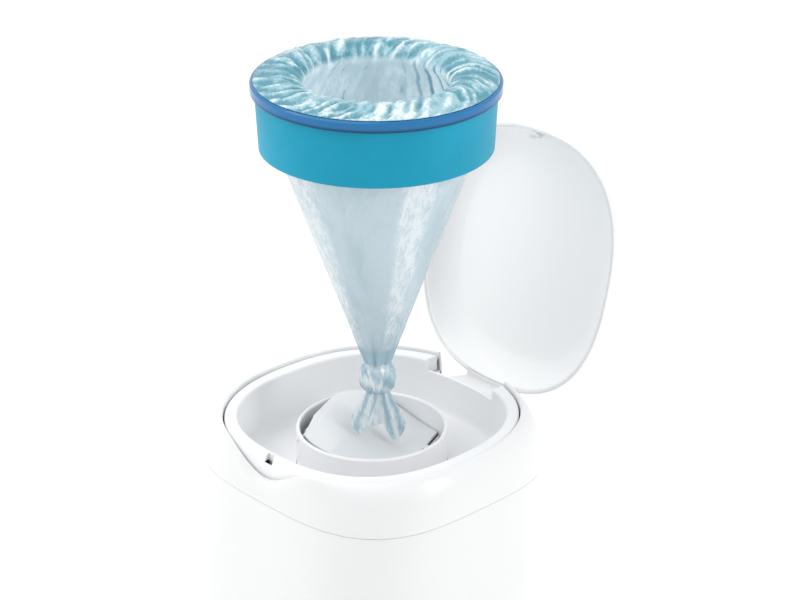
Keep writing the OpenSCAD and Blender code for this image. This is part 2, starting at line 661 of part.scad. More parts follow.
// Outer radius of the tub's sloping inner wall at height z
function tub_slope(z) =
  mix(skirt_radius + tub_wall - 0.4, mouth_radius + tub_wall,
      (z - refill_z - tub_wall) / (label_height - tub_wall - 1));
module packed_film() color("lightblue") refill_axis() {
  low = refill_z + tub_wall + 0.4;
  high = band_z - 4;
  rotate_extrude() polygon(concat(
    [for (i = [0:2 * folds]) let (f = i / (2 * folds))
      [mix(label_foot_radius, label_top_radius, f) - label_t - tub_wall - 0.9 - 1.6 * (i % 2),
       mix(low, high, f)]],
    [for (i = [2 * folds:-1:0]) let (f = i / (2 * folds))
      [tub_slope(mix(low, high, f)) + 0.6 + 1.6 * (i % 2), mix(low, high, f)]]));
}

// Gathered film on the refill: a low ruffled ring from the rim band to the mouth
gathers = 32;
film_n = 96;
function ruffle(t) = 0.6 * sin(gathers * t) + 0.4 * sin((gathers / 2 + 3) * t + 70);
function film_ring(r, z, wave) = [for (i = [0:film_n - 1])
  let (t = 360 * i / film_n, g = ruffle(t)) polar(t, r + wave * g * 0.5, z + wave * g)];

module film_top() color("lightblue") refill_axis() {
  foot = band_top + 0.3;
  hem = band_radius - 2.2;
  tip = mouth_radius - film_in;
  skin(back([
    film_ring(mouth_radius - 2.4, band_z - 6, 0), film_ring(tip + 2, band_z - 1, 0.3),
    film_ring(tip, band_z + 3.5, 0.8), film_ring(tip + 2.5, band_z + 7.2, 1.2),
    film_ring(mouth_radius + 1, crest_z - 1.8, 1.4), film_ring(mouth_radius + 10, crest_z, 1.5),
    film_ring(mouth_radius + 19, crest_z - 2.2, 1.1), film_ring(hem - 3, foot + 1.8, 0.5),
    film_ring(hem, foot + 0.8, 0), film_ring(hem - 1, foot, 0),
    film_ring(mouth_radius + 3, foot, 0), film_ring(mouth_radius - 3.5, band_z + 4, 0),
    film_ring(mouth_radius - 0.9, band_z - 6, 0)]), closed = true);
}

// Film under the refill: a cone gathered into a knot, with two loose tails
towards = [0.66, -0.62, 0.42];     // side that the tails' flat faces look to
function unit(v) = v / norm(v);
module tail(end, wide) {
  start = [0, 0, knot_z - knot_radius * 0.5];
  long = norm(end - start);
  y = unit(end - start);
  x = unit(cross(y, towards));
  z = cross(x, y);
  multmatrix([[x[0], y[0], z[0], start[0]], [x[1], y[1], z[1], start[1]], [x[2], y[2], z[2], start[2]]])
    translate([0, 0, -1.3]) linear_extrude(2.6)
      polygon([[-4, 0], [4, 0], [wide, long * 0.8], [wide * 0.5, long], [-wide * 0.4, long],
        [-wide, long * 0.85]]);
}

module film_bag() color("lightblue") refill_axis() {
  top = refill_z + 1;
  k = knot_radius;
  rotate_extrude() polygon([
    [0, knot_z - 0.95 * k], [0.55 * k, knot_z - 0.8 * k], [0.9 * k, knot_z - 0.4 * k], [k, knot_z],
    [0.9 * k, knot_z + 0.45 * k], [neck_radius, knot_z + 0.8 * k], [film_radius, top],
    [film_radius - skin_t, top], [neck_radius - skin_t, knot_z + 0.8 * k + 1],
    [0, knot_z + 0.8 * k - 1]]);
  tail([-0.32 * k, -1.54 * k, flap_z(-9) + 3], 0.48 * k);
  tail([0.51 * k, 0.35 * k, flap_z(13) + 3], 0.55 * k);
}

bucket();
head_catch();
head_hinge_pin();
top_cover();
cassette_tray();
tray_screws();
collar();
clamp_housing();
housing_screws();
clamp_jaw();
clamp_flap();
flap_pin();
flap_spring();
cutter_holder();
cutter_blade();
latch_clip();
lid_shell();
lid_liner();
lid_hook();
lid_hinge_pin();
cassette_tub();
cassette_rim();
cassette_label();
packed_film();
film_top();
film_bag();
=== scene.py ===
# %% [markdown]
# # A nappy bin with its film refill lifted out
# The bin is a tall white bucket with a domed head. The head holds a tray, a round collar with a
# sprung flap, and a lid that stands open at the back. Above it hangs the refill: a ring-shaped
# tub with a blue rim and a turquoise sleeve, from which a cone of thin film runs down to a knot.
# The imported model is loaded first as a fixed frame. Small, round and flat pieces keep their solid
# shape and only get a finish. Large curved shells and all the film are made again here from the
# same sizes, but much finer, because gloss shows every flat facet.

# %% Load the frame
import math
import bpy
import bmesh
import numpy as np
from mathutils import Matrix, Vector, noise


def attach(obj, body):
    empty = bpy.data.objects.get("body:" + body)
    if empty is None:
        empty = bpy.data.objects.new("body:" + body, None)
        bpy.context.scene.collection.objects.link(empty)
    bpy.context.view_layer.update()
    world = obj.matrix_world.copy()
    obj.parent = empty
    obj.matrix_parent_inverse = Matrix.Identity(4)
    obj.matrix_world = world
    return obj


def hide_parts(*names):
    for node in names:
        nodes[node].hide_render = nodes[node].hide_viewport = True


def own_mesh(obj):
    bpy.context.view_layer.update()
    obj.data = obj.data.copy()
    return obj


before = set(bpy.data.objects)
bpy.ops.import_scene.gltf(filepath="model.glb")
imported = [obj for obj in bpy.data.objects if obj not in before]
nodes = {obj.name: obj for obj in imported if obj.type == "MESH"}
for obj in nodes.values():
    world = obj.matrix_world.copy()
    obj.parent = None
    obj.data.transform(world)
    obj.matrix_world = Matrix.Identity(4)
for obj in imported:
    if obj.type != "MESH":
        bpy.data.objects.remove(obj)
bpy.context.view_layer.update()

# %% [markdown]
# All sizes below are in millimetres, as in the part's source, and are turned to metres only where
# a mesh is made. A superellipse is the outline of nearly everything here: with a power of 2 it is
# an ellipse, and with a higher one its sides are flatter and its corners fuller. An outline is
# kept as its two half sizes and that power.

# %% Sizes and outlines
SEAM_Z, RIM_Z, LEDGE_Z, COLLAR_TOP, FLOOR_Z = 402.0, 441.5, 439.5, 428.0, 396.0
LID_OPEN, HINGE_Y, HINGE_Z = 103.6, 111.0, 418.5
HEAD_HINGE_Y, HEAD_HINGE_Z, HINGE_EYE_R = 121.4, 397.0, 4.3
REFILL_X, REFILL_Y = 3.2, 3.4
POST_TURNS = (45, 135, 225, 315)


def mix(a, b, f):
    return a + (b - a) * f


def smooth(x):
    c = np.clip(x, 0, 1)
    return c * c * (3 - 2 * c)


def reach(t, a, b, p):
    """Radius of a superellipse with half sizes a and b at the angles t, in radians."""
    return (np.abs(np.cos(t) / a) ** p + np.abs(np.sin(t) / b) ** p) ** (-1 / p)


def ring(t, r, z, cx=0.0, cy=0.0):
    """Points at angles t, radius r and height z round the axis at cx, cy."""
    z = np.broadcast_to(z, t.shape)
    return np.stack([cx + r * np.cos(t), cy + r * np.sin(t), z], 1)


SEAM = (122.7, 115.4, 3.2)
turn = np.linspace(0, 2 * math.pi, 288, endpoint=False)
print("corner of the seam outline:", round(float(reach(math.pi / 4, *SEAM)), 1), "mm out")

# %% [markdown]
# A shell is lofted: rings of equal point count are stacked and joined by quads. A hollow shell is
# one loft that goes up the outside and down the inside, closed on itself or capped at both ends,
# so it has a real wall and its faces point outwards without any repair. Edges that turn sharply
# are marked, and the rest is shaded smooth.

# %% Helpers that make meshes
SHARP = 32


def add_mesh(name, points, faces, angle=SHARP):
    """An object from points in mm; edges that turn more than angle degrees stay sharp."""
    mesh = bpy.data.meshes.new(name)
    mesh.from_pydata((np.asarray(points) / 1000).tolist(), [], faces)
    mesh.validate()
    mesh.shade_smooth()
    mesh.set_sharp_from_angle(angle=math.radians(angle))
    obj = bpy.data.objects.new(name, mesh)
    bpy.context.scene.collection.objects.link(obj)
    return obj


def loft_faces(m, n, closed):
    """Quads between m rings of n points each."""
    return [[j * n + i, j * n + (i + 1) % n, (j + 1) % m * n + (i + 1) % n, (j + 1) % m * n + i]
            for j in range(m if closed else m - 1) for i in range(n)]


def loft(name, rings, closed=False, angle=SHARP):
    """A skin through rings: closed on itself, or capped at both ends."""
    m, n = len(rings), len(rings[0])
    faces = loft_faces(m, n, closed)
    if not closed:
        faces += [list(range(n))[::-1], [(m - 1) * n + i for i in range(n)]]
    return add_mesh(name, np.concatenate(rings), faces, angle)


def cut_away(obj, cutter, angle=SHARP):
    """Cuts one solid out of another and removes the cutter."""
    mod = obj.modifiers.new("cut", "BOOLEAN")
    mod.operation, mod.solver, mod.object = "DIFFERENCE", "EXACT", cutter
    bake(obj, angle)
    bpy.data.objects.remove(cutter)
    return obj


def carve(obj, boxes, angle=SHARP):
    """Cuts boxes, given as two corners in mm, out of obj."""
    for low, high in boxes:
        cut_away(obj, block("cutter", low, high), angle)
    return obj


def bake(obj, angle=SHARP):
    """Turns what the modifiers make into the object's own mesh."""
    bpy.context.view_layer.update()
    done = bpy.data.meshes.new_from_object(obj.evaluated_get(bpy.context.evaluated_depsgraph_get()))
    obj.modifiers.clear()
    obj.data = done
    done.shade_smooth()
    done.set_sharp_from_angle(angle=math.radians(angle))
    return obj


def join(name, objs, angle=SHARP):
    """One object from several meshes."""
    bm = bmesh.new()
    for o in objs:
        bm.from_mesh(o.data)
        bpy.data.objects.remove(o)
    mesh = bpy.data.meshes.new(name)
    bm.to_mesh(mesh)
    bm.free()
    mesh.shade_smooth()
    mesh.set_sharp_from_angle(angle=math.radians(angle))
    obj = bpy.data.objects.new(name, mesh)
    bpy.context.scene.collection.objects.link(obj)
    return obj


def block(name, low, high, bevel=0.0, steps=3):
    """A box between two corners in mm, with rounded edges."""
    bm = bmesh.new()
    bmesh.ops.create_cube(bm, size=1)
    low, high = np.array(low) / 1000, np.array(high) / 1000
    bm.transform(Matrix.Translation((low + high) / 2) @ Matrix.Diagonal((*(high - low), 1)))
    if bevel:
        bmesh.ops.bevel(bm, geom=bm.edges[:], offset=bevel / 1000, segments=steps,
                        affect="EDGES", profile=0.5)
    mesh = bpy.data.meshes.new(name)
    bm.to_mesh(mesh)
    bm.free()
    obj = bpy.data.objects.new(name, mesh)
    bpy.context.scene.collection.objects.link(obj)
    return obj


CHAMFER = 0.3


def rod(name, radius, x0, x1, y, z, n=64):
    """A round bar along X, chamfered at both ends."""
    t = np.linspace(0, 2 * math.pi, n, endpoint=False)
    rings = [np.stack([np.full(n, x), y + r * np.cos(t), z + r * np.sin(t)], 1)
             for x, r in ((x0, radius - CHAMFER), (x0 + CHAMFER, radius),
                          (x1 - CHAMFER, radius), (x1, radius - CHAMFER))]
    return loft(name, rings)


def post(name, radius, x, y, z0, z1, n=48):
    """A round bar that stands upright at x, y, chamfered at its foot."""
    t = np.linspace(0, 2 * math.pi, n, endpoint=False)
    return loft(name, [ring(t, np.full(n, r), z, x, y)
                       for z, r in ((z0, radius - CHAMFER), (z0 + CHAMFER, radius), (z1, radius))])


def turned(obj, degrees):
    """Turns a piece's mesh about the collar's axis."""
    obj.data.transform(Matrix.Rotation(math.radians(degrees), 4, "Z"))
    return obj


print("mesh helpers ready, outlines have", len(turn), "points")

# %% [markdown]
# Shader maths is easier to read as an expression than as a web of nodes. The small class below
# wraps a socket: adding, multiplying or dividing it makes the Math node and returns the new
# socket. One method makes every other node, with its settings first and then its inputs.

# %% Shader expressions
class Sock:
    """A value in a material that can be added, multiplied and so on like a number."""

    def __init__(self, mat, socket):
        self.mat, self.socket = mat, socket

    def _op(self, kind, a, b=None):
        return self.mat.node("ShaderNodeMath", {"operation": kind}, {0: a, 1: b})

    def __add__(self, o): return self._op("ADD", self, o)
    def __radd__(self, o): return self._op("ADD", o, self)
    def __sub__(self, o): return self._op("SUBTRACT", self, o)
    def __rsub__(self, o): return self._op("SUBTRACT", o, self)
    def __mul__(self, o): return self._op("MULTIPLY", self, o)
    def __rmul__(self, o): return self._op("MULTIPLY", o, self)
    def __truediv__(self, o): return self._op("DIVIDE", self, o)
    def __abs__(self): return self._op("ABSOLUTE", self)
    def sin(self): return self._op("SINE", self)
    def atan2(self, o): return self._op("ARCTAN2", self, o)

    def ramp(self, a, b):
        """0 up to a, 1 from b on, and smooth between."""
        return self.mat.node("ShaderNodeMapRange", {"interpolation_type": "SMOOTHSTEP"},
                             {"Value": self, "From Min": a, "From Max": b})


class Material:
    """A procedural material; fixed holds shader inputs that are the same all over."""

    def __init__(self, name, color, rough, **fixed):
        self.material = bpy.data.materials.new(name)
        self.material.use_nodes = True
        self.tree = self.material.node_tree
        self.shader = self.tree.nodes["Principled BSDF"]
        self.shader.inputs["Base Color"].default_value = (*color, 1)
        self.shader.inputs["Roughness"].default_value = rough
        for key, value in fixed.items():
            self.shader.inputs[key.replace("_", " ")].default_value = value
        self.place = self.node("ShaderNodeTexCoord", {}, {}, "Object")

    def node(self, kind, settings, values, out=0):
        """Any node: its settings, then its inputs as numbers or links, and the output that is wanted."""
        n = self.tree.nodes.new(kind)
        for key, value in settings.items():
            setattr(n, key, value)
        for key, value in values.items():
            if value is None:
                continue
            if isinstance(value, Sock):
                self.tree.links.new(value.socket, n.inputs[key])
            else:
                n.inputs[key].default_value = value
        return Sock(self, n.outputs[out])

    def noise(self, scale, detail=3.0, rough=0.5, place=None, distortion=0.0):
        return self.node("ShaderNodeTexNoise", {}, {"Vector": place or self.place, "Scale": scale,
                         "Detail": detail, "Roughness": rough, "Distortion": distortion})

    def stretch(self, x, y, z):
        """The place on the piece with each axis scaled, so that a pattern is drawn out along one."""
        return self.node("ShaderNodeMapping", {}, {"Vector": self.place, "Scale": (x, y, z)})

    def axes(self):
        """The place on the piece as x, y and z, in metres."""
        n = self.tree.nodes.new("ShaderNodeSeparateXYZ")
        self.tree.links.new(self.place.socket, n.inputs[0])
        return [Sock(self, n.outputs[i]) for i in range(3)]

    def blend(self, f, a, b):
        """Colour a where f is 0 and b where it is 1."""
        wide = [v if isinstance(v, Sock) else (*v, 1) for v in (a, b)]
        return self.node("ShaderNodeMix", {"data_type": "RGBA"}, {0: f, 6: wide[0], 7: wide[1]}, 2)

    def feed(self, name, value):
        """Links a value to an input of the shader."""
        self.tree.links.new(value.socket, self.shader.inputs[name])

    def bump(self, height, strength, distance):
        self.feed("Normal", self.node("ShaderNodeBump", {}, {
            "Height": height, "Strength": strength, "Distance": distance}))


def paint(mat, *objs):
    """Gives each object this one material."""
    for o in objs:
        o.data.materials.clear()
        o.data.materials.append(mat.material)


print("shader helpers ready")

# %% [markdown]
# The bin is moulded in white plastic. A real moulding isn't a flat colour: its gloss wanders a
# little, and light catches a very fine orange peel. The outer pieces are glossy. The tray, the
# collar and the lid's inside have a satin surface and read slightly cooler; the lid's inside is a
# brighter and slightly rougher copy of that satin white, which is painted light. The clamp's flap
# is a pale grey, and the works under the tray are a darker one.

# %% White plastics
def moulded(name, color, rough, peel, coat=0.0):
    """A moulded plastic; peel is how strong its orange peel is."""
    m = Material(name, color, rough, Coat_Weight=coat, Coat_Roughness=0.08, IOR=1.48)
    wander = m.noise(9.0, 2.0)
    m.feed("Base Color", m.blend(wander, tuple(c * 0.985 for c in color), color))
    m.feed("Roughness", rough + (wander - 0.5) * 0.06)
    m.bump(m.noise(260.0, 2.0), peel, 0.0003)
    return m


shell_white = moulded("shell_white", (0.825, 0.83, 0.835), 0.33, 0.012, 0.2)
satin_white = moulded("satin_white", (0.86, 0.865, 0.875), 0.42, 0.02)
# the lid's inside: satin white made brighter, as painted light
pan_white_painted_light = moulded("pan_white_painted_light", (0.945, 0.947, 0.95), 0.5, 0.02)
flap_grey = moulded("flap_grey", (0.70, 0.72, 0.74), 0.42, 0.03)
works_grey = moulded("works_grey", (0.55, 0.56, 0.57), 0.48, 0.15)
plastics = (shell_white, satin_white, pan_white_painted_light, flap_grey, works_grey)
print("plastics:", [m.material.name for m in plastics])

# %% [markdown]
# The pins, screws, clip and blade are steel. Turned steel shows fine lines round its axis; on
# pieces this small a stretched noise gives the same broken glint.

# %% Steel
steel = Material("steel", (0.62, 0.63, 0.65), 0.28, Metallic=1.0)
grain = steel.noise(60.0, 4.0, place=steel.stretch(1, 14, 14))
steel.feed("Roughness", 0.22 + grain * 0.2)
steel.feed("Base Color", steel.blend(grain, (0.55, 0.56, 0.58), (0.68, 0.69, 0.71)))
steel.bump(grain, 0.15, 0.0002)
for name in ("head_hinge_pin", "lid_hinge_pin", "flap_spring", "tray_screws",
             "housing_screws", "latch_clip", "cutter_blade"):
    paint(steel, nodes[name])
for name in ("clamp_jaw", "lid_hook", "head_catch", "flap_pin"):
    paint(flap_grey, nodes[name])
for name in ("clamp_housing", "cutter_holder"):
    paint(works_grey, nodes[name])
print("steel pieces painted")

# %% [markdown]
# The bucket is one hollow loft with a flat floor and a lip that stands up inside the head. Its
# sides swell between the seam and the floor, more in front than behind. The two lugs of the
# head's hinge grow out of its back, so they are joined to the same piece.

# %% Bucket
BELLY_Z, BELLY_SIDE, BELLY_FRONT = 210.0, 4.0, 6.5


def body_ring(z, inset):
    """The bucket's outline at a height, drawn in by inset; it is fullest at the belly."""
    full = 1 - ((z - BELLY_Z) / (SEAM_Z - BELLY_Z)) ** 2 if z < SEAM_Z else 0
    shift = full * BELLY_FRONT
    return ring(turn, reach(turn, SEAM[0] + BELLY_SIDE * full - inset, SEAM[1] + shift - inset, SEAM[2]),
                z, 0, -shift)


WALL = 3.0
top, lip = SEAM_Z - 0.4, SEAM_Z + 5
bucket_rings = [body_ring(0, 6.0), body_ring(0.3, 4.4), body_ring(1.2, 2.6), body_ring(2.6, 1.3),
                body_ring(4.5, 0.5), body_ring(6.5, 0.1), body_ring(9, 0)]
bucket_rings += [body_ring(z, 0) for z in np.linspace(20, top - 0.6, 28)]
bucket_rings += [body_ring(top - 0.15, 0.12), body_ring(top, 0.5), body_ring(top, 3.2),
                 body_ring(lip - 0.4, 3.4), body_ring(lip, 3.7), body_ring(lip, 4.6),
                 body_ring(lip - 0.4, 5.0), body_ring(top - 6, 5.0), body_ring(top - 12, WALL)]
bucket_rings += [body_ring(z, WALL) for z in np.linspace(370, 30, 20)]
bucket_rings += [body_ring(12, 3.2), body_ring(6.5, 4.4), body_ring(3.5, 8.0)]
shell = loft("shell", bucket_rings)
lugs = []
for side in (-1, 1):
    x0, x1 = sorted((side * 20.6, side * 32.35))
    lugs += [block("lug", (x0, 114.2, 385), (x1, HEAD_HINGE_Y, 401.2), 0.6),
             rod("lug_eye", HINGE_EYE_R, x0, x1, HEAD_HINGE_Y, HEAD_HINGE_Z)]
bucket = join("bin_bucket", [shell] + lugs)
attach(bucket, "bucket_body")
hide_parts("bucket")
paint(shell_white, bucket)
print("bucket:", len(bucket.data.polygons), "faces")

# %% [markdown]
# The cover is the domed shoulder above the seam. Its section is a quarter of an ellipse between
# two outlines: the seam below and the groove round the tray above. In front the rim dips into the
# finger scoop, and the wall under it is drawn in, so the hollow catches a soft shadow.

# %% Cover with its finger scoop
GROOVE, GROOVE_HALF = (109.3, 113.6, 2.3), 0.6
SCOOP_HALF, SCOOP_DEPTH, SCOOP_DRAW = 54.0, 19.0, 3.5


def groove_r(out):
    """Radius of the groove round the tray, moved out by so much."""
    return reach(turn, GROOVE[0] + out, GROOVE[1] + out, GROOVE[2])


edge = groove_r(GROOVE_HALF)
x_edge = edge * np.cos(turn)
dip = np.where((np.sin(turn) < 0) & (np.abs(x_edge) < SCOOP_HALF),
               0.5 + 0.5 * np.cos(np.pi * x_edge / SCOOP_HALF), 0.0)
room = smooth((reach(turn, *SEAM) - edge - 2) / 6)


def cover_ring(u, inside=False):
    """u runs from 0 at the seam to 90 degrees at the rim."""
    inset = 2.6 if inside else 0.0
    a, top_z = math.radians(u), RIM_Z - SCOOP_DEPTH * dip - inset
    foot_r = reach(turn, SEAM[0] - inset, SEAM[1] - inset, SEAM[2])
    rim_r = edge + (0.3 + 1.6 * room if inside else 1.8)
    hollow = SCOOP_DRAW * dip * smooth((u - 35) / 40)
    return ring(turn, mix(foot_r, rim_r, 1 - math.cos(a)) - hollow,
                SEAM_Z + (top_z - SEAM_Z) * math.sin(a))


def rim_ring(out, down):
    """A ring by the cover's rim, which follows the scoop."""
    return ring(turn, edge + out - SCOOP_DRAW * dip, RIM_Z - SCOOP_DEPTH * dip - down)


cover_rings = [cover_ring(u) for u in (0, 1.5, 5, *range(10, 86, 5), 87, 89)]
cover_rings += [rim_ring(1.75, 0.02), rim_ring(1.2, 0.0), rim_ring(0.7, 0.12), rim_ring(0.25, 0.5),
                rim_ring(0.0, 1.2), rim_ring(0.0, mix(2.2, 9.0, room)),
                rim_ring(0.02 + 1.6 * room, mix(2.2, 9.0, room))]
cover_rings += [cover_ring(u, True) for u in (84, 76, 68, 59, 50, 41, 32, 20, 8, 0)]
POCKET = 38.0
cover = carve(loft("cover", cover_rings, closed=True),
              [((-POCKET, HINGE_Y - 12, HINGE_Z - 8), (POCKET, HINGE_Y + 20, HINGE_Z + 32))])
extra = [rod("knuckle", HINGE_EYE_R, -20, 20, HEAD_HINGE_Y, HEAD_HINGE_Z),
         block("web", (-20, 113.8, 402.4), (20, HEAD_HINGE_Y + HINGE_EYE_R, 409.4), 0.6),
         block("web_low", (-20, HEAD_HINGE_Y - 2, HEAD_HINGE_Z), (20, HEAD_HINGE_Y + HINGE_EYE_R, 403), 0.6),
         block("tab", (-9, -107.2, 395), (9, -105.4, 411), 0.3),
         block("tab_foot", (-9, -114.2, 408), (9, -106, 411), 0.3)]
for side in (-1, 1):
    x0, x1 = sorted((side * POCKET, side * (POCKET + 5)))
    extra.append(block("pin_boss", (x0, 106, 412.5), (x1, 112.9, 424.5), 0.4))
SCREW_POST = 4.0


def corner(out):
    """How far the groove's outline, moved out by so much, reaches at 45 degrees."""
    return float(reach(math.pi / 4, GROOVE[0] + out, GROOVE[1] + out, GROOVE[2]))


corner_seam, POST_R = float(reach(math.pi / 4, *SEAM)), corner(GROOVE_HALF) + 6
share = min(max((corner_seam - POST_R - SCREW_POST) / (corner_seam - corner(2.4)), 0), 1)
post_top = SEAM_Z + (RIM_Z - SEAM_Z) * math.sin(math.acos(1 - share)) - 0.8
extra += [turned(post("post", SCREW_POST, POST_R, 0, LEDGE_Z - 24, post_top), d) for d in POST_TURNS]
cover = join("bin_cover", [cover] + extra)
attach(cover, "head")
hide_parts("top_cover")
paint(shell_white, cover)
print("cover:", len(cover.data.polygons), "faces, deepest scoop", float(dip.max()) * SCOOP_DEPTH, "mm")

# %% [markdown]
# The tray is the light well inside the cover. The lid rests on its ledge, and the refill stands
# on its floor round the collar. In front the ledge rolls over into the scoop as a rounded nose.
# The slot of the lid's latch and the pocket of the lid's hinge are cut with boxes, and a thin
# cheek closes each end of the pocket, as the hollow behind the ledge would show there.

# %% Tray
WELL, WELL_DRAFT = (97.5, 100.0, 2.5), 2.0
TRAY_FOOT_Z = FLOOR_Z - 2.4
brink = groove_r(-GROOVE_HALF) - SCOOP_DRAW * dip


def well_ring(out, z):
    """A ring in the well's wall, which leans in towards its floor."""
    draft = out + WELL_DRAFT * (smooth((z - FLOOR_Z) / (LEDGE_Z - FLOOR_Z)) - 1)
    return ring(turn, reach(turn, WELL[0] + draft, WELL[1] + draft, WELL[2]), z)


def ledge_ring(f, nose):
    """A ring on the ledge, a share f of the way out, lowered in the scoop by a share nose."""
    return ring(turn, mix(reach(turn, *WELL), brink, f), LEDGE_Z - nose * SCOOP_DEPTH * dip)


def edge_ring(inset, down, nose):
    """A ring at the ledge's outer edge."""
    return ring(turn, brink - inset, LEDGE_Z - down - nose * SCOOP_DEPTH * dip)


hole = np.full(turn.shape, 60.3)
tray_rings = [ring(turn, hole, TRAY_FOOT_Z), ring(turn, hole, FLOOR_Z), well_ring(-8, FLOOR_Z),
              well_ring(-5.4, FLOOR_Z + 0.2), well_ring(-3.2, FLOOR_Z + 1.0), well_ring(-1.4, FLOOR_Z + 2.4),
              well_ring(-0.4, FLOOR_Z + 4.4), well_ring(0, FLOOR_Z + 7)]
tray_rings += [well_ring(0, z) for z in np.linspace(FLOOR_Z + 12, LEDGE_Z - 3.2, 8)]
tray_rings += [well_ring(0.12, LEDGE_Z - 1.8), well_ring(0.5, LEDGE_Z - 0.8), well_ring(1.2, LEDGE_Z - 0.2),
               ledge_ring(0.22, 0.0), ledge_ring(0.42, 0.03), ledge_ring(0.6, 0.10), edge_ring(3.4, 0, 0.20),
               edge_ring(2.2, 0, 0.32), edge_ring(1.2, 0.1, 0.46), edge_ring(0.5, 0.45, 0.62),
               edge_ring(0.12, 1.0, 0.76), edge_ring(0, 1.8, 0.86), edge_ring(0, 8, 0.92),
               edge_ring(2, 8, 0.92), edge_ring(2.2, 3.6, 0.92), well_ring(3.0, LEDGE_Z - 6.5),
               well_ring(2.4, LEDGE_Z - 9), well_ring(2.4, FLOOR_Z + 5), well_ring(-1.6, TRAY_FOOT_Z)]
SLOT_Y, CHEEK = -105.3, 1.4
ear_in = float(reach(math.pi / 4, *WELL))
ears = [turned(block("ear", (ear_in, -5, LEDGE_Z - 27), (POST_R + 5, 5, LEDGE_Z - 24.1), 0.4), d)
        for d in POST_TURNS]
ears += [turned(post("boss", SCREW_POST, 73, 0, 391.2, 394.1), d) for d in POST_TURNS]
ears += [block("cheek", (x, 96.5, 426), (x + CHEEK, 108.2, 438.5), 0.3)
         for x in (-POCKET - CHEEK - 0.1, POCKET + 0.1)]
tray = carve(loft("tray", tray_rings[::-1], closed=True), [
    ((-4, SLOT_Y - 2.3, 419.5), (4, SLOT_Y + 2.3, 460)),
    ((-POCKET, 88, 429.5), (POCKET, 140, 450)),
    ((-POCKET - 6, 105, 410.5), (POCKET + 6, 125, 434.5)),
    ((-POCKET, 105, 410), (POCKET, 125, 450))])
tray = join("bin_tray", [tray] + ears)
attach(tray, "head")
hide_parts("cassette_tray")
paint(satin_white, tray, nodes["collar"])
print("tray:", len(tray.data.polygons), "faces")

# %% [markdown]
# The flap closes the collar. It is a springy plate bent like a wave: a crest at its hinge and a
# trough before its free edge, with both ends round so that it clears the collar as it swings. In
# front the crest bends down to the collar's edge. It is a grid of points in its own turned axes,
# with a top and a bottom sheet and a rim between.

# %% Clamp flap
FLAP_TURN, FLAP_OPEN, FLAP_THICK = math.radians(24), math.radians(35), 2.0
FLAP_AXIS_S, FLAP_AXIS_Z, FLAP_BACK, FLAP_FRONT = -46.2, 422.0, -45.0, 40.0
FLAP_CLEAR_R, BEND_TOP = 56.0, COLLAR_TOP - 2.5


def flap_z(s):
    """Height of the wave at s, which is measured from the collar's axis towards the free edge."""
    return COLLAR_TOP - 7 - 12 * np.sin(np.radians(180 * (s + 5) / 66))


def flap_place(s, v, z):
    """Places by the flap's own turned axes: s towards its free edge, v along its hinge."""
    c, k = math.cos(FLAP_TURN), math.sin(FLAP_TURN)
    return np.stack([s * c - v * k, s * k + v * c, z], -1)


n = 61
s = np.linspace(FLAP_BACK, FLAP_FRONT, n)
swung = FLAP_AXIS_S + (s - FLAP_AXIS_S) * math.cos(FLAP_OPEN) - 1.5
half = np.sqrt(FLAP_CLEAR_R ** 2 - np.maximum(np.abs(s) + 0.3, np.abs(swung)) ** 2)
v = np.linspace(-1, 1, n)[None, :] * half[:, None]
grid_s = np.repeat(s[:, None], n, 1)
bend = smooth((-v / half[:, None] - 0.3) / 0.7) * np.maximum(flap_z(grid_s) - BEND_TOP, 0)
upper = flap_place(grid_s, v, flap_z(grid_s) - bend).reshape(-1, 3)
lower = flap_place(grid_s, v, flap_z(grid_s) - bend - FLAP_THICK).reshape(-1, 3)
faces = [[i * n + j, (i + 1) * n + j, (i + 1) * n + j + 1, i * n + j + 1]
         for i in range(n - 1) for j in range(n - 1)]
faces += [[n * n + q for q in f[::-1]] for f in faces]
rim = list(range(n)) + [i * n + n - 1 for i in range(1, n)]
rim += [(n - 1) * n + j for j in range(n - 2, -1, -1)] + [i * n for i in range(n - 2, 0, -1)]
faces += [[a, b, n * n + b, n * n + a] for a, b in zip(rim, rim[1:] + rim[:1])]
plate = add_mesh("plate", np.concatenate([upper, lower]), faces)
barrel = rod("barrel", 2.8, -22, 22, 0, FLAP_AXIS_Z)
web = block("web", (-22, -0.6, FLAP_AXIS_Z), (9.8, 2.0, 431), 0.3)
for o in (barrel, web):
    o.data.transform(Matrix.Rotation(FLAP_TURN, 4, "Z") @ Matrix.Translation((FLAP_AXIS_S / 1000, 0, 0))
                     @ Matrix.Rotation(-math.pi / 2, 4, "Z"))
flap = join("flap_plate", [plate, barrel, web])
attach(flap, "flap")
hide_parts("clamp_flap")
paint(flap_grey, flap)
print("flap:", len(flap.data.polygons), "faces, from", round(float(flap_z(s).min()), 1), "to",
      round(float(flap_z(s).max()), 1), "mm high")

# %% [markdown]
# The lid is made shut, where its sizes are easy to read, and then swung open about its hinge: the
# mesh itself is turned, so the object stays at the origin. The dome's plan shrinks with a power of
# the cosine below one, which gives fuller shoulders than an ellipse and a flatter crown. The
# inner pan follows it at a small distance and then breaks into a flatter floor, which is the
# crease that shows inside the lid.

# %% Lid
LID, LID_RISE, CROWN_POWER = (101.7, 108.0, 2.5), 36.0, 0.68
LID_Z, LID_Y = LEDGE_Z + 0.4, -2.5
TONGUE_HALF, TONGUE_BACK = 29.0, 115.0
swing = (Matrix.Translation((0, HINGE_Y / 1000, HINGE_Z / 1000))
         @ Matrix.Rotation(math.radians(-LID_OPEN), 4, "X")
         @ Matrix.Translation((0, -HINGE_Y / 1000, -HINGE_Z / 1000)))


def dome_ring(u, inset):
    """u runs from 0 at the lid's edge to 90 degrees at its crown."""
    a = math.radians(u)
    k = math.cos(a) ** CROWN_POWER
    return ring(turn, reach(turn, (LID[0] - inset) * k, (LID[1] - inset) * k, LID[2]),
                LID_Z + (LID_RISE - inset) * math.sin(a), 0, LID_Y)


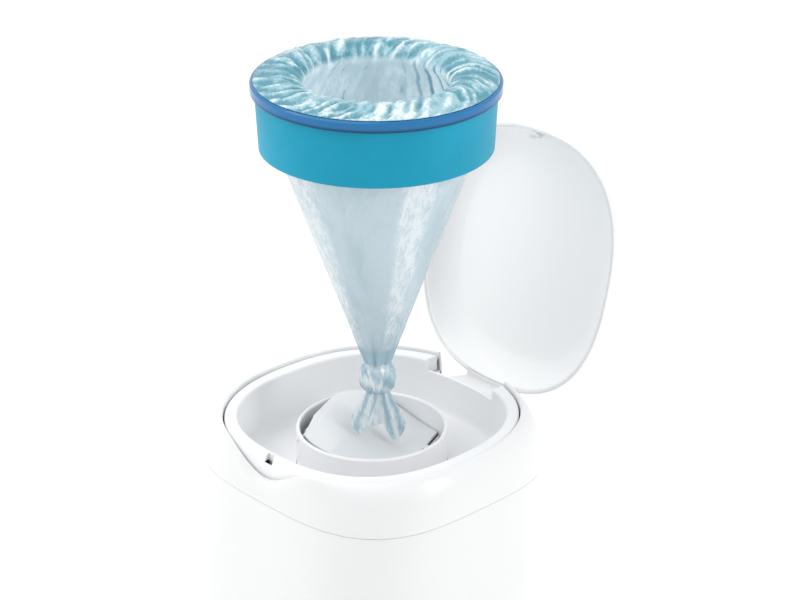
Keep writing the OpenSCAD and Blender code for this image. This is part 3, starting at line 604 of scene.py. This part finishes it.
def pan_ring(f, inset, z):
    """The lid's outline at a share f of its size, z above its edge."""
    return ring(turn, reach(turn, LID[0] * f - inset, LID[1] * f - inset, LID[2]), LID_Z + z, 0, LID_Y)


inside = [dome_ring(u, 2.4) for u in (88, *range(84, 5, -6), 0.6)]
outside = [dome_ring(u, 0) for u in (0.8, 2, 5, 9, 14, 19, 24, *range(30, 79, 6), 83, 86.5, 88.8)]
lid = loft("lid", inside + [dome_ring(0, 2.0), dome_ring(0, 0.7), dome_ring(0.25, 0.2)] + outside)
hollow = loft("hollow", inside[::-1])
tongue = cut_away(block("tongue", (-TONGUE_HALF, 99.5, 440.4), (TONGUE_HALF, TONGUE_BACK, 446.4), 1.6, 5),
                  hollow)
arm = block("arm", (-TONGUE_HALF, 107, HINGE_Z), (TONGUE_HALF, TONGUE_BACK, 443), 1.6, 5)
eye = rod("eye", 3.5, -TONGUE_HALF, TONGUE_HALF, HINGE_Y, HINGE_Z)
lid = join("bin_lid", [lid, tongue, arm, eye])
pan = loft("lid_pan", [
    pan_ring(0.3, 0, 22.0), pan_ring(0.6, 0, 21.7), pan_ring(0.74, 0.9, 21.3), pan_ring(0.78, 0.9, 20.9),
    pan_ring(0.80, 1.0, 20.2), pan_ring(0.845, 1.2, 18.2), dome_ring(31, 4.3), dome_ring(25, 4.3),
    dome_ring(20, 4.3), dome_ring(14, 4.3), dome_ring(8, 4.2), dome_ring(3.4, 3.9),
    dome_ring(2.6, 3.5), dome_ring(2.6, 2.42), dome_ring(8, 2.6), dome_ring(20, 2.8),
    dome_ring(31, 2.8), pan_ring(0.845, 0, 19.4), pan_ring(0.78, 0, 22.5), pan_ring(0.6, 0, 23.2),
    pan_ring(0.3, 0, 23.5)])
for o in (lid, pan):
    o.data.transform(swing)
    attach(o, "lid")
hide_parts("lid_shell")
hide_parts("lid_liner")
paint(shell_white, lid)
paint(pan_white_painted_light, pan)
print("lid:", len(lid.data.polygons), "faces, pan:", len(pan.data.polygons), "faces")

# %% [markdown]
# The refill's tub and rim band are blue plastic. Below a height just under the rim band's top the
# blue turns far darker, and a clear coat gives the sharp highlight. The sleeve round the tub is
# printed card, plain here: a satin turquoise that is creased where its ends overlap, with painted
# shade darkening the creases.

# %% Refill finishes
blue = Material("refill_blue", (0.01, 0.15, 0.36), 0.2, Coat_Weight=0.15, Coat_Roughness=0.05, IOR=1.4)
above_edge = blue.axes()[2].ramp(0.7096, 0.7125)
cloud = blue.noise(30.0, 2.0)
blue.feed("Base Color", blue.blend(above_edge, (0.003, 0.04, 0.13), (0.004, 0.16, 0.40)))
blue.feed("Roughness", 0.14 + cloud * 0.12)
blue.bump(blue.noise(300.0), 0.05, 0.0003)
paint(blue, nodes["cassette_tub"], nodes["cassette_rim"])


def refill_axes(mat):
    """The place on a piece of the refill, in metres, with x and y counted from its axis."""
    x, y, z = mat.axes()
    return x - REFILL_X / 1000, y - REFILL_Y / 1000, z


OVERLAP_ANGLE = -2.62
card = Material("sleeve_card", (0.006, 0.31, 0.48), 0.4, IOR=1.3)
x, y, z = refill_axes(card)
joint = 1 - abs(y.atan2(x) - OVERLAP_ANGLE).ramp(0.02, 0.16)
streaks = card.noise(70.0, 4.0, 0.6, card.stretch(2.2, 2.2, 0.18), 0.4)
# the creases are painted darker: painted shade in the folds of the card
crease = joint * streaks.ramp(0.52, 0.62)
tone = card.noise(14.0, 2.0)
plain = card.blend(tone.ramp(0.35, 0.65), (0.003, 0.30, 0.46), (0.006, 0.34, 0.52))
card.feed("Base Color", card.blend(crease * 0.75, plain, (0.01, 0.12, 0.2)))
card.feed("Roughness", 0.4 + tone * 0.12)
card.bump(joint * streaks + card.noise(240.0) * 0.04, 0.5, 0.0012)
paint(card, nodes["cassette_label"])
print("refill finishes:", blue.material.name, card.material.name)

# %% [markdown]
# The film is thin, slippery and pale blue. Its crinkles are many small folds that each mirror the
# light, drawn out along the film; two noises make them, one coarse and one fine, both stretched
# upwards, and they shape its bump and roughness. Its light is also painted into its colour: two
# bands of painted sheen, painted glints and white glint specks, painted highlights on the ridges of
# the folds and painted shade in their valleys, painted shade along the cone's outlines, and a
# painted lift of light over the fan. Near the knot the film is gathered and doubled, so it is bluer
# there. The cone's shape is settled here too, because its painted sheen lies in bands that run from
# the knot upwards and widen as it does.

# %% Film finish
# the fan's and the cone's own directions in plan: along their width, and through them
SIDE, DEEP = np.array([0.686, 0.728]), np.array([-0.728, 0.686])
CONE_TOP_Z, CONE_TOP_R = 665.6, 76.4
NECK_Z, NECK_R = 481.0, 9.5
CONE_SLOPE = (CONE_TOP_R - NECK_R) / (CONE_TOP_Z - NECK_Z)
APEX_Z = NECK_Z - NECK_R / CONE_SLOPE


def film_finish(name, pale):
    """The clear film: returns the material, its coarse folds and its fine crinkles."""
    m = Material(name, pale, 0.2, Coat_Weight=0.5, Coat_Roughness=0.05, IOR=1.5)
    coarse = m.noise(34.0, 4.0, 0.62, m.stretch(1.0, 1.0, 0.3), 0.7)
    fine = m.noise(230.0, 4.0, 0.7, m.stretch(1.0, 1.0, 0.28), 1.0)
    m.feed("Roughness", 0.1 + fine * 0.22)
    return m, coarse, fine


clear_film, coarse, fine = film_finish("film_cone", (0.5, 0.66, 0.74))
x, y, z = refill_axes(clear_film)
side = x * SIDE[0] + y * SIDE[1]
# from -1 to 1 between the cone's two outlines as the photograph shows them
across = side / (abs(z - APEX_Z / 1000) * CONE_SLOPE)
# painted sheen: bands of painted highlight on the cone's right and left sides, with painted glints and glint
# specks
right_sheen = across.ramp(0.18, 0.36) * (1 - across.ramp(0.55, 0.74))
left_sheen = (1 - across.ramp(-0.8, -0.5)) * 1.15
glint = (fine * 0.75 + coarse * 0.25).ramp(0.42, 0.6)
glint_specks = (coarse * 0.35 + fine * 0.65).ramp(0.54, 0.7)
painted_highlight = (right_sheen + left_sheen) * (glint * 0.7 + 0.25) + glint_specks * 0.35
# painted shade: the film is painted darker along the cone's two outlines, and its painted highlights fade
# there
edge = abs(across).ramp(0.9, 1.0)
gather = (1 - z.ramp(0.496, 0.5035)) * z.ramp(0.482, 0.486)
base = clear_film.blend(coarse.ramp(0.36, 0.6), (0.50, 0.64, 0.71), (0.58, 0.71, 0.78))
base = clear_film.blend(edge * 0.6 + gather * 0.55, base, (0.24, 0.45, 0.56))
painted_highlight = painted_highlight * (1 - edge * 0.8) * (1 - gather * 0.7)
# folds that spread from the knot like rays, and slanting ones round the knot itself, painted light on their
# ridges as painted highlight and dark in their valleys as painted shade
rays = (side / (0.480 - z) * 30.0 + coarse * 15.0).sin()
wraps = (z * 330.0 + side * 260.0 + coarse * 12.0).sin()
fan_on = 1 - z.ramp(0.456, 0.462)
knot_on = z.ramp(0.456, 0.462) * (1 - z.ramp(0.480, 0.486))
painted_fold_light = fan_on * (rays * 0.5 + (fine - 0.45) * 2.6).ramp(-0.4, 1.0) * 0.85
painted_fold_light = painted_fold_light + knot_on * (wraps * 0.5 + (fine - 0.43) * 2.4).ramp(-0.25, 1.0) * 0.85
painted_fold_shade = fan_on * (1 - rays.ramp(-1.0, -0.4)) * 0.6 + knot_on * (1 - wraps.ramp(-1.1, -0.5)) * 0.8
base = clear_film.blend(painted_fold_shade * 0.35, base, (0.16, 0.38, 0.48))
# the whole fan is painted lighter: a painted lift of light against the cone's shadow
painted_highlight = painted_highlight + painted_fold_light * 0.8 + fan_on * 0.22
# the painted highlights go into the base colour as near-white
clear_film.feed("Base Color", clear_film.blend(painted_highlight.ramp(0.0, 1.0) * 0.85, base, (0.86, 0.92, 0.94)))
clear_film.feed("Alpha", 0.97 - z.ramp(0.486, 0.5035) * 0.15 + gather * 0.02)
clear_film.bump(coarse * 0.7 + fine * 0.4, 0.6, 0.0022)
print("film finish:", clear_film.material.name)

# %% [markdown]
# The film gathered on the refill is a ring of pleats: a main piece whose shape follows a rule, so
# Geometry Nodes make it. One flat grid holds the steps round the ring in X and the steps across it
# in Y. Two curves turn the share across into a radius and a height: from the tub's foot the film
# climbs its sloping wall, bulges into the opening, goes over the crest and ends in a hem on the rim
# band. Waves round the ring, leaning with a swirl and upset by noise, push the film in and out.
# Their height is kept as an attribute, so that the shader can paint ridges silver as painted highlight and
# valleys teal as painted shade.

# %% Pleated film on the refill
# share across the film, radius in mm, height in mm
SECTION = [(0.0, 77.2, 666.2), (0.22, 63.2, 700.5), (0.30, 58.6, 706.5), (0.36, 55.6, 710.6),
           (0.41, 54.9, 713.6), (0.46, 57.2, 717.4), (0.54, 64.5, 721.8), (0.64, 73.0, 723.6),
           (0.76, 82.0, 721.5), (0.88, 88.8, 719.6), (0.96, 91.6, 718.3), (1.0, 92.0, 717.7)]


def pleat_tree():
    """The tree that makes the ring of pleats and keeps each point's ridge."""
    tree = bpy.data.node_groups.new("pleated_ring", "GeometryNodeTree")
    face = tree.interface
    face.new_socket("Geometry", in_out="INPUT", socket_type="NodeSocketGeometry")
    face.new_socket("Geometry", in_out="OUTPUT", socket_type="NodeSocketGeometry")
    for label, value in (("Pleat Depth", 0.0013), ("Lining Wrinkle", 0.0005),
                         ("Swirl", 0.5), ("Wander", 20.0)):
        face.new_socket(label, in_out="INPUT", socket_type="NodeSocketFloat").default_value = value
    for label, value in (("Pleats", 36), ("Seed", 7)):
        face.new_socket(label, in_out="INPUT", socket_type="NodeSocketInt").default_value = value
    face.new_socket("Material", in_out="INPUT", socket_type="NodeSocketMaterial")
    outp = tree.nodes.new("NodeGroupOutput")
    given = tree.nodes.new("NodeGroupInput").outputs

    def put(kind, settings=(), values=(), out=0):
        node = tree.nodes.new(kind)
        for key, value in dict(settings).items():
            setattr(node, key, value)
        for key, value in dict(values).items():
            if isinstance(value, bpy.types.NodeSocket):
                tree.links.new(value, node.inputs[key])
            else:
                node.inputs[key].default_value = value
        return node.outputs[out]

    def calc(op, a, b=0.0):
        return put("ShaderNodeMath", {"operation": op}, {0: a, 1: b})

    def part(value, low, high, to_low, to_high):
        return put("ShaderNodeMapRange", {"clamp": True}, {"Value": value, "From Min": low, "From Max": high,
                                                           "To Min": to_low, "To Max": to_high})

    def follow(value, pairs, low, high):
        """A curve through pairs, scaled to run from low to high."""
        node = tree.nodes.new("ShaderNodeFloatCurve")
        curve = node.mapping.curves[0]
        scaled = [(x, (y - low) / (high - low)) for x, y in pairs]
        for point, place in zip(curve.points, (scaled[0], scaled[-1])):
            point.location = place
        for place in scaled[1:-1]:
            curve.points.new(*place)
        node.mapping.update()
        tree.links.new(value, node.inputs["Value"])
        return part(node.outputs[0], 0.0, 1.0, low / 1000, high / 1000)

    grid = put("GeometryNodeMeshGrid", (), {"Size X": 1.0, "Size Y": 1.0,
                                            "Vertices X": 769, "Vertices Y": 89})
    split = tree.nodes.new("ShaderNodeSeparateXYZ")
    tree.links.new(put("GeometryNodeInputPosition"), split.inputs[0])
    u, v = (calc("ADD", split.outputs[k], 0.5) for k in (0, 1))
    theta = calc("MULTIPLY", u, 2 * math.pi)
    radius = follow(v, [(p[0], p[1]) for p in SECTION], 50, 100)
    height = follow(v, [(p[0], p[2]) for p in SECTION], 660, 730)
    # waves round the ring, fading out at the lining's foot and at the hem
    lean = calc("ADD", theta, calc("MULTIPLY", given["Swirl"], v))
    circle = put("ShaderNodeCombineXYZ", (), {0: calc("COSINE", lean), 1: calc("SINE", lean),
                                             2: calc("MULTIPLY", v, 0.5)})
    seed = calc("MULTIPLY", given["Seed"], 1.37)
    wide, small = (put("ShaderNodeTexNoise", {"noise_dimensions": "4D"}, {
        "Vector": circle, "W": seed, "Scale": scale, "Detail": 3.0}) for scale in (3.5, 13.0))
    phase = calc("ADD", calc("MULTIPLY", lean, given["Pleats"]), calc("MULTIPLY", wide, given["Wander"]))
    wave = calc("ADD", calc("MULTIPLY", calc("SINE", phase), 0.55),
                calc("MULTIPLY", calc("SUBTRACT", small, 0.5), 4.0))
    on_ring = calc("MULTIPLY", part(v, 0.38, 0.5, 0.0, 1.0), part(v, 0.9, 1.0, 1.0, 0.0))
    on_wall = calc("MULTIPLY", part(v, 0.0, 0.1, 0.0, 1.0), part(v, 0.34, 0.5, 1.0, 0.0))
    rise = calc("MULTIPLY", calc("MULTIPLY", wave, on_ring), given["Pleat Depth"])
    inward = calc("MULTIPLY", calc("MULTIPLY", wave, on_wall), given["Lining Wrinkle"])
    radius = calc("SUBTRACT", radius, inward)
    spot = put("ShaderNodeCombineXYZ", (), {
        0: calc("ADD", calc("MULTIPLY", radius, calc("COSINE", theta)), REFILL_X / 1000),
        1: calc("ADD", calc("MULTIPLY", radius, calc("SINE", theta)), REFILL_Y / 1000),
        2: calc("ADD", height, rise)})
    kept = put("GeometryNodeStoreNamedAttribute", {"data_type": "FLOAT", "domain": "POINT"},
               {"Geometry": grid, "Name": "ridge", "Value": wave})
    moved = put("GeometryNodeSetPosition", (), {"Geometry": kept, "Position": spot})
    sewn = put("GeometryNodeMergeByDistance", (), {"Geometry": moved, "Distance": 1e-6})
    whole = put("GeometryNodeRealizeInstances", (), {"Geometry": sewn})
    dressed = put("GeometryNodeSetMaterial", (), {"Geometry": whole, "Material": given["Material"]})
    tree.links.new(dressed, outp.inputs[0])
    return tree


SOFT = 60


def from_tree(name, tree, values):
    """Runs a tree with named values on an empty mesh and keeps the result as a plain mesh."""
    obj = bpy.data.objects.new(name, bpy.data.meshes.new(name))
    bpy.context.scene.collection.objects.link(obj)
    mod = obj.modifiers.new("make", "NODES")
    mod.node_group = tree
    sockets = {item.name: item.identifier for item in tree.interface.items_tree if item.in_out == "INPUT"}
    for label, value in values.items():
        mod[sockets[label]] = value
    return bake(obj, SOFT)


gathered, coarse, fine = film_finish("film_gathered", (0.6, 0.74, 0.8))
ridge = gathered.node("ShaderNodeAttribute", {"attribute_name": "ridge"}, {}, "Fac")
x, y, z = refill_axes(gathered)
ring_part = z.ramp(0.711, 0.7175)
# how far the place lies in front of the refill's axis, with 1 at the front edge; on the crest it gives
# painted sheen, lighter towards the front and back and darker at the sides
facing = (x * SIDE[1] - y * SIDE[0]) / 0.08
# tone: painted highlight on the pleats' ridges and painted shade in their valleys, random tone from the
# noises, and painted sheen on the crest
tone = ridge * 0.8 + (fine - 0.5) * 2.2 + (coarse - 0.5) * 2.4 + ring_part * (facing * facing * 0.6 - 0.45)
patches = gathered.noise(26.0, 2.0, 0.5) - 0.5
shade = gathered.blend((tone + patches * 3.0).ramp(-0.9, 0.3), (0.05, 0.27, 0.36), (0.30, 0.54, 0.62))
# the lining: ridges painted pale as painted highlight and valleys painted teal as painted shade, broken up
# by random patches
lining = gathered.blend((ridge * 0.9 + patches * 5.0).ramp(-1.7, -0.7),
                        (0.10, 0.34, 0.43), (0.62, 0.74, 0.79))
# white flecks on the lining: painted glints
glint_flecks = (fine * 0.6 + coarse * 0.4).ramp(0.52, 0.58)
lining = gathered.blend(glint_flecks * 0.55, lining, (0.86, 0.92, 0.94))
angle = y.atan2(x)
# dark teal streaks painted in the folds at the back of the lining: painted shade
back_folds = (angle * 36.0 + z * 90.0 + coarse * 6.0).sin().ramp(0.3, 0.9)
back_folds = back_folds * (1 - abs(angle - 1.35).ramp(0.3, 0.9))
lining = gathered.blend(back_folds * 0.8, lining, (0.03, 0.24, 0.36))
shade = gathered.blend(ring_part, lining, shade)
# the lightest tone is painted near-white: a painted highlight
gathered.feed("Base Color", gathered.blend(tone.ramp(-0.1, 0.9) * 0.9, shade, (0.80, 0.88, 0.91)))
# painted glow: the lining emits light in its own colour, standing in for light that comes through the film
glow = (1 - ring_part) * (0.35 + coarse * 0.5)
gathered.feed("Emission Color", gathered.blend(glow, (0.0, 0.0, 0.0), lining))
gathered.shader.inputs["Emission Strength"].default_value = 0.55
gathered.bump(fine * 0.6 + coarse * 0.5, 0.6, 0.0016)
film_ring = from_tree("film_gather", pleat_tree(), {"Material": gathered.material})
bm = bmesh.new()
bm.from_mesh(film_ring.data)
if max(bm.faces, key=lambda f: f.calc_center_median().z).normal.z < 0:
    bmesh.ops.reverse_faces(bm, faces=bm.faces[:])
bm.to_mesh(film_ring.data)
bm.free()
FILM_THICK = 0.00025
wall = film_ring.modifiers.new("thickness", "SOLIDIFY")
wall.thickness, wall.offset = FILM_THICK, -1
bake(film_ring, SOFT)
paint(gathered, film_ring)
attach(film_ring, "refill")
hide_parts("film_top")
print("gathered film:", len(film_ring.data.polygons), "faces")

# %% [markdown]
# Under the refill the film is pulled into a cone by its own knot. A straight line from the tub's
# foot to the knot gives the cone, and the closer it gets to the knot the deeper it folds, because
# the same width of film has less and less round to go. A fractal noise taken on a circle gives
# wrinkles that close up where the ring ends, and the same ones on every run. Its lowest part is a
# piece of its own with the knot.

# %% Film cone
def crinkle(t, z, wide, tall, seed):
    """A repeatable wrinkle height between -1 and 1 for each angle and height."""
    return np.array([noise.fractal(Vector((math.cos(a) * wide, math.sin(a) * wide, b / tall + seed)),
                                   0.9, 2.1, 3) for a, b in zip(t, z)])


def at_refill(r, z):
    """A ring round the refill's axis."""
    return ring(turn2, r, z, REFILL_X, REFILL_Y)


turn2 = np.linspace(0, 2 * math.pi, 384, endpoint=False)
STEPS, SPLIT = 120, 108
cone_rings = []
for k in range(STEPS + 1):
    f = k / STEPS
    z = mix(CONE_TOP_Z, NECK_Z, f)
    base = mix(CONE_TOP_R, NECK_R, f)
    z_all = np.full(turn2.shape, z)
    fold = np.sin(turn2 * 9 + 1.3 * np.sin(turn2 * 2 + 1) + f * 1.4) * 0.6 + np.sin(turn2 * 17 + 2) * 0.4
    deep = 1.1 * smooth((f - 0.55) / 0.45) + 0.12
    tiny = crinkle(turn2, z_all, 7.0, 14.0, 11.0) * (0.45 - 0.25 * f)
    cone_rings.append(at_refill(base + deep * (fold - 0.5) + tiny - 0.2, z))


def film_tube(name, rings, thick):
    """A thin-walled tube through rings that are given from the top down."""
    obj = add_mesh(name, np.concatenate(rings[::-1]), loft_faces(len(rings), len(rings[0]), False), SOFT)
    wall = obj.modifiers.new("thickness", "SOLIDIFY")
    wall.thickness, wall.offset = thick, -1
    return bake(obj, SOFT)


cone = film_tube("film_cone", cone_rings[:SPLIT + 1], 0.0003)
neck = film_tube("neck", cone_rings[SPLIT:], 0.0003)
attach(cone, "refill")
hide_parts("film_bag", "packed_film")
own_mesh(cone)
paint(clear_film, cone)

# %% [markdown]
# The knot is the film wrapped over itself: a flattened ball, pinched in the middle, with creases
# that wind round it. Below it hangs what is left of the film, a fan with three tongues: a long
# one in front, a short one, and a broad one with ridges. Its hem is drawn by a few given
# heights along its width, and its folds by waves that start at the knot.

# %% Knot and tails
KNOT_Z, KNOT_HALF, KNOT_R = 470.7, 14.6, 14.5


def at_knot(side, deep, z):
    """Places by the fan's own directions: side along its width, deep through it."""
    return np.stack([REFILL_X + side * SIDE[0] + deep * DEEP[0],
                     REFILL_Y + side * SIDE[1] + deep * DEEP[1], z], -1)


knot_t = np.linspace(0, 2 * math.pi, 160, endpoint=False)
knot_rings = []
for u in np.linspace(-86, 86, 61):
    a = math.radians(u)
    round_r = math.cos(a) ** 0.72
    crease = (np.sin(knot_t * 5 + u * 0.085 + 0.7 * np.sin(2 * knot_t)) * 0.55
              + np.sin(knot_t * 11 - u * 0.06) * 0.3)
    lobes = 1 + 0.10 * np.cos(2 * knot_t) * math.cos(a)
    pinch = 1 - 0.10 * math.exp(-(u / 16) ** 2) * np.cos(knot_t) ** 2
    r = KNOT_R * 0.95 * round_r * lobes * pinch + crease * 1.0 * round_r
    z = KNOT_Z + KNOT_HALF * math.sin(a) + 0.6 * np.sin(knot_t * 2 + 0.5) * math.cos(a)
    knot_rings.append(at_knot(r * np.cos(knot_t), 0.86 * r * np.sin(knot_t), z))
knot = loft("knot", knot_rings, angle=SOFT)

fan_t = np.linspace(0, 2 * math.pi, 240, endpoint=False)
FAN_TOP_Z = 463.0
# the hem's height in mm at places along the fan's width, from its left end to its right
hem_side = [-1.0, -0.9, -0.72, -0.55, -0.42, -0.2, 0.0, 0.15, 0.3, 0.5, 0.7, 0.86, 1.0]
hem_z = [439, 430, 424.5, 428, 432, 430.5, 430, 431, 424, 417, 415.5, 420, 429]
fan_rings = []
for f in np.linspace(0, 1, 42):
    c, k = np.cos(fan_t), np.sin(fan_t)
    end = np.interp(c, hem_side, hem_z)
    reach_side = np.where(c < 0, 21.5, 22.0) * c + 0.5
    lean = mix(-3.0, -9.0, smooth(-c)) * np.where(c < 0, 1, 0.25)
    folds = np.sin(fan_t * 13 + 0.8) * 0.6 + np.sin(fan_t * 7 + 2.2) * 0.9
    folds = folds * (0.35 + 1.5 * f * (1 - 0.3 * f))
    side = mix(6.0 * c, reach_side, f ** 0.9) + 0.3 * folds * c
    deep = mix(6.0 * k, 3.4 * k, f) + folds * (0.5 + 0.5 * np.abs(k)) * np.sign(k) * 0.55 + lean * f ** 1.2
    fan_rings.append(at_knot(side, deep, mix(FAN_TOP_Z, end, f)))
fan = film_tube("fan", fan_rings, 0.0004)
film = join("film_knot", [neck, knot, fan], SOFT)
paint(clear_film, film)
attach(film, "refill")
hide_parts("film_bag")
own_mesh(film)
low = min(p.co.z for p in film.data.vertices) * 1000
print("knot and tails:", len(film.data.polygons), "faces, lowest point", round(low, 1), "mm")

# %% [markdown]
# The scene round the bin is a studio: a pale floor that takes the shadow, and a plain white
# surround. What the camera or clear plastic sees of the surround is pure white, while the light
# that it gives is kept lower, and lowest from the side of the bin's front right corner. So that
# corner is darker than the two sides beside it, as in the photograph.

# %% Floor and surround
floor_mat = Material("studio_floor", (0.95, 0.95, 0.95), 0.6)
patch = floor_mat.noise(3.0, 2.0)
floor_mat.feed("Roughness", 0.55 + patch * 0.1)
FLOOR_HALF = 9000
floor = add_mesh("studio_floor", [(x * FLOOR_HALF, y * FLOOR_HALF, 0)
                                  for x, y in ((-1, -1), (1, -1), (1, 1), (-1, 1))], [[0, 1, 2, 3]])
paint(floor_mat, floor)

world = bpy.data.worlds.new("surround")
bpy.context.scene.world = world
world.use_nodes = True
wt = world.node_tree
back = wt.nodes["Background"]
ray = wt.nodes.new("ShaderNodeLightPath")
seen = wt.nodes.new("ShaderNodeMath")
seen.operation = "MAXIMUM"
wt.links.new(ray.outputs["Is Camera Ray"], seen.inputs[0])
wt.links.new(ray.outputs["Is Transmission Ray"], seen.inputs[1])
where = wt.nodes.new("ShaderNodeTexCoord")
toward = wt.nodes.new("ShaderNodeVectorMath")
toward.operation = "DOT_PRODUCT"
toward.inputs[1].default_value = (0.72, -0.67, -0.15)
wt.links.new(where.outputs["Generated"], toward.inputs[0])
light = wt.nodes.new("ShaderNodeMapRange")
light.interpolation_type = "SMOOTHSTEP"
for key, value in (("From Min", 0.4), ("From Max", 1.0), ("To Min", 0.92), ("To Max", 0.26)):
    light.inputs[key].default_value = value
wt.links.new(toward.outputs["Value"], light.inputs["Value"])
level = wt.nodes.new("ShaderNodeMapRange")
level.inputs["To Max"].default_value = 1.0
wt.links.new(light.outputs["Result"], level.inputs["To Min"])
wt.links.new(seen.outputs[0], level.inputs["Value"])
wt.links.new(level.outputs["Result"], back.inputs["Strength"])
back.inputs["Color"].default_value = (1, 1, 1, 1)
print("floor and surround:", floor.name, world.name)

# %% [markdown]
# Two soft lamps light the bin: a large one high on the left, and a narrow one on the right and a
# little behind. A very wide sun lamp from above lifts the whole floor evenly to white, and its
# shadows are as soft as those of an overcast sky.

# %% Lamps
def lamp(name, place, target, size, power):
    """A soft rectangular lamp at a place, turned towards a target."""
    data = bpy.data.lights.new(name, "AREA")
    data.shape, data.size, data.size_y, data.energy = "RECTANGLE", size[0], size[1], power
    obj = bpy.data.objects.new(name, data)
    obj.location = place
    obj.rotation_euler = (Vector(target) - Vector(place)).to_track_quat("-Z", "Y").to_euler()
    bpy.context.scene.collection.objects.link(obj)
    return obj


lamp("lamp_left", (-0.9, -1.5, 1.7), (0, 0, 0.45), (1.1, 1.3), 7.0)
lamp("lamp_right", (1.7, 0.6, 1.2), (0, 0, 0.5), (0.5, 1.4), 8.3)
sky = bpy.data.lights.new("lamp_sky", "SUN")
sky.energy, sky.angle = 0.93, math.radians(60)
sky_obj = bpy.data.objects.new("lamp_sky", sky)
sky_obj.rotation_euler = (math.radians(14), math.radians(-16), 0)
bpy.context.scene.collection.objects.link(sky_obj)

# %% [markdown]
# The camera was worked out from the photograph: the ellipses of the collar, the rim and the refill
# fix where it stood and how long its lens was. The lens is given by the picture's width in pixels,
# 800, and a focal length of 2502 of those pixels.

# %% Camera
PICTURE_WIDTH, FOCAL_PIXELS, SENSOR = 800, 2502.4, 36.0
cam_data = bpy.data.cameras.new("camera")
cam_data.sensor_fit, cam_data.sensor_width = "HORIZONTAL", SENSOR
cam_data.lens = FOCAL_PIXELS / PICTURE_WIDTH * SENSOR
cam_data.clip_end = 50
camera = bpy.data.objects.new("camera", cam_data)
tilt, azimuth = math.radians(24.599), math.radians(46.737)
camera.location = (1.295279, -1.188572, 1.340970)
camera.rotation_euler = (math.pi / 2 - tilt, 0, azimuth)
bpy.context.scene.collection.objects.link(camera)
bpy.context.scene.camera = camera
bpy.context.scene.view_settings.view_transform = "Standard"
print("camera lens:", round(cam_data.lens, 1), "mm")
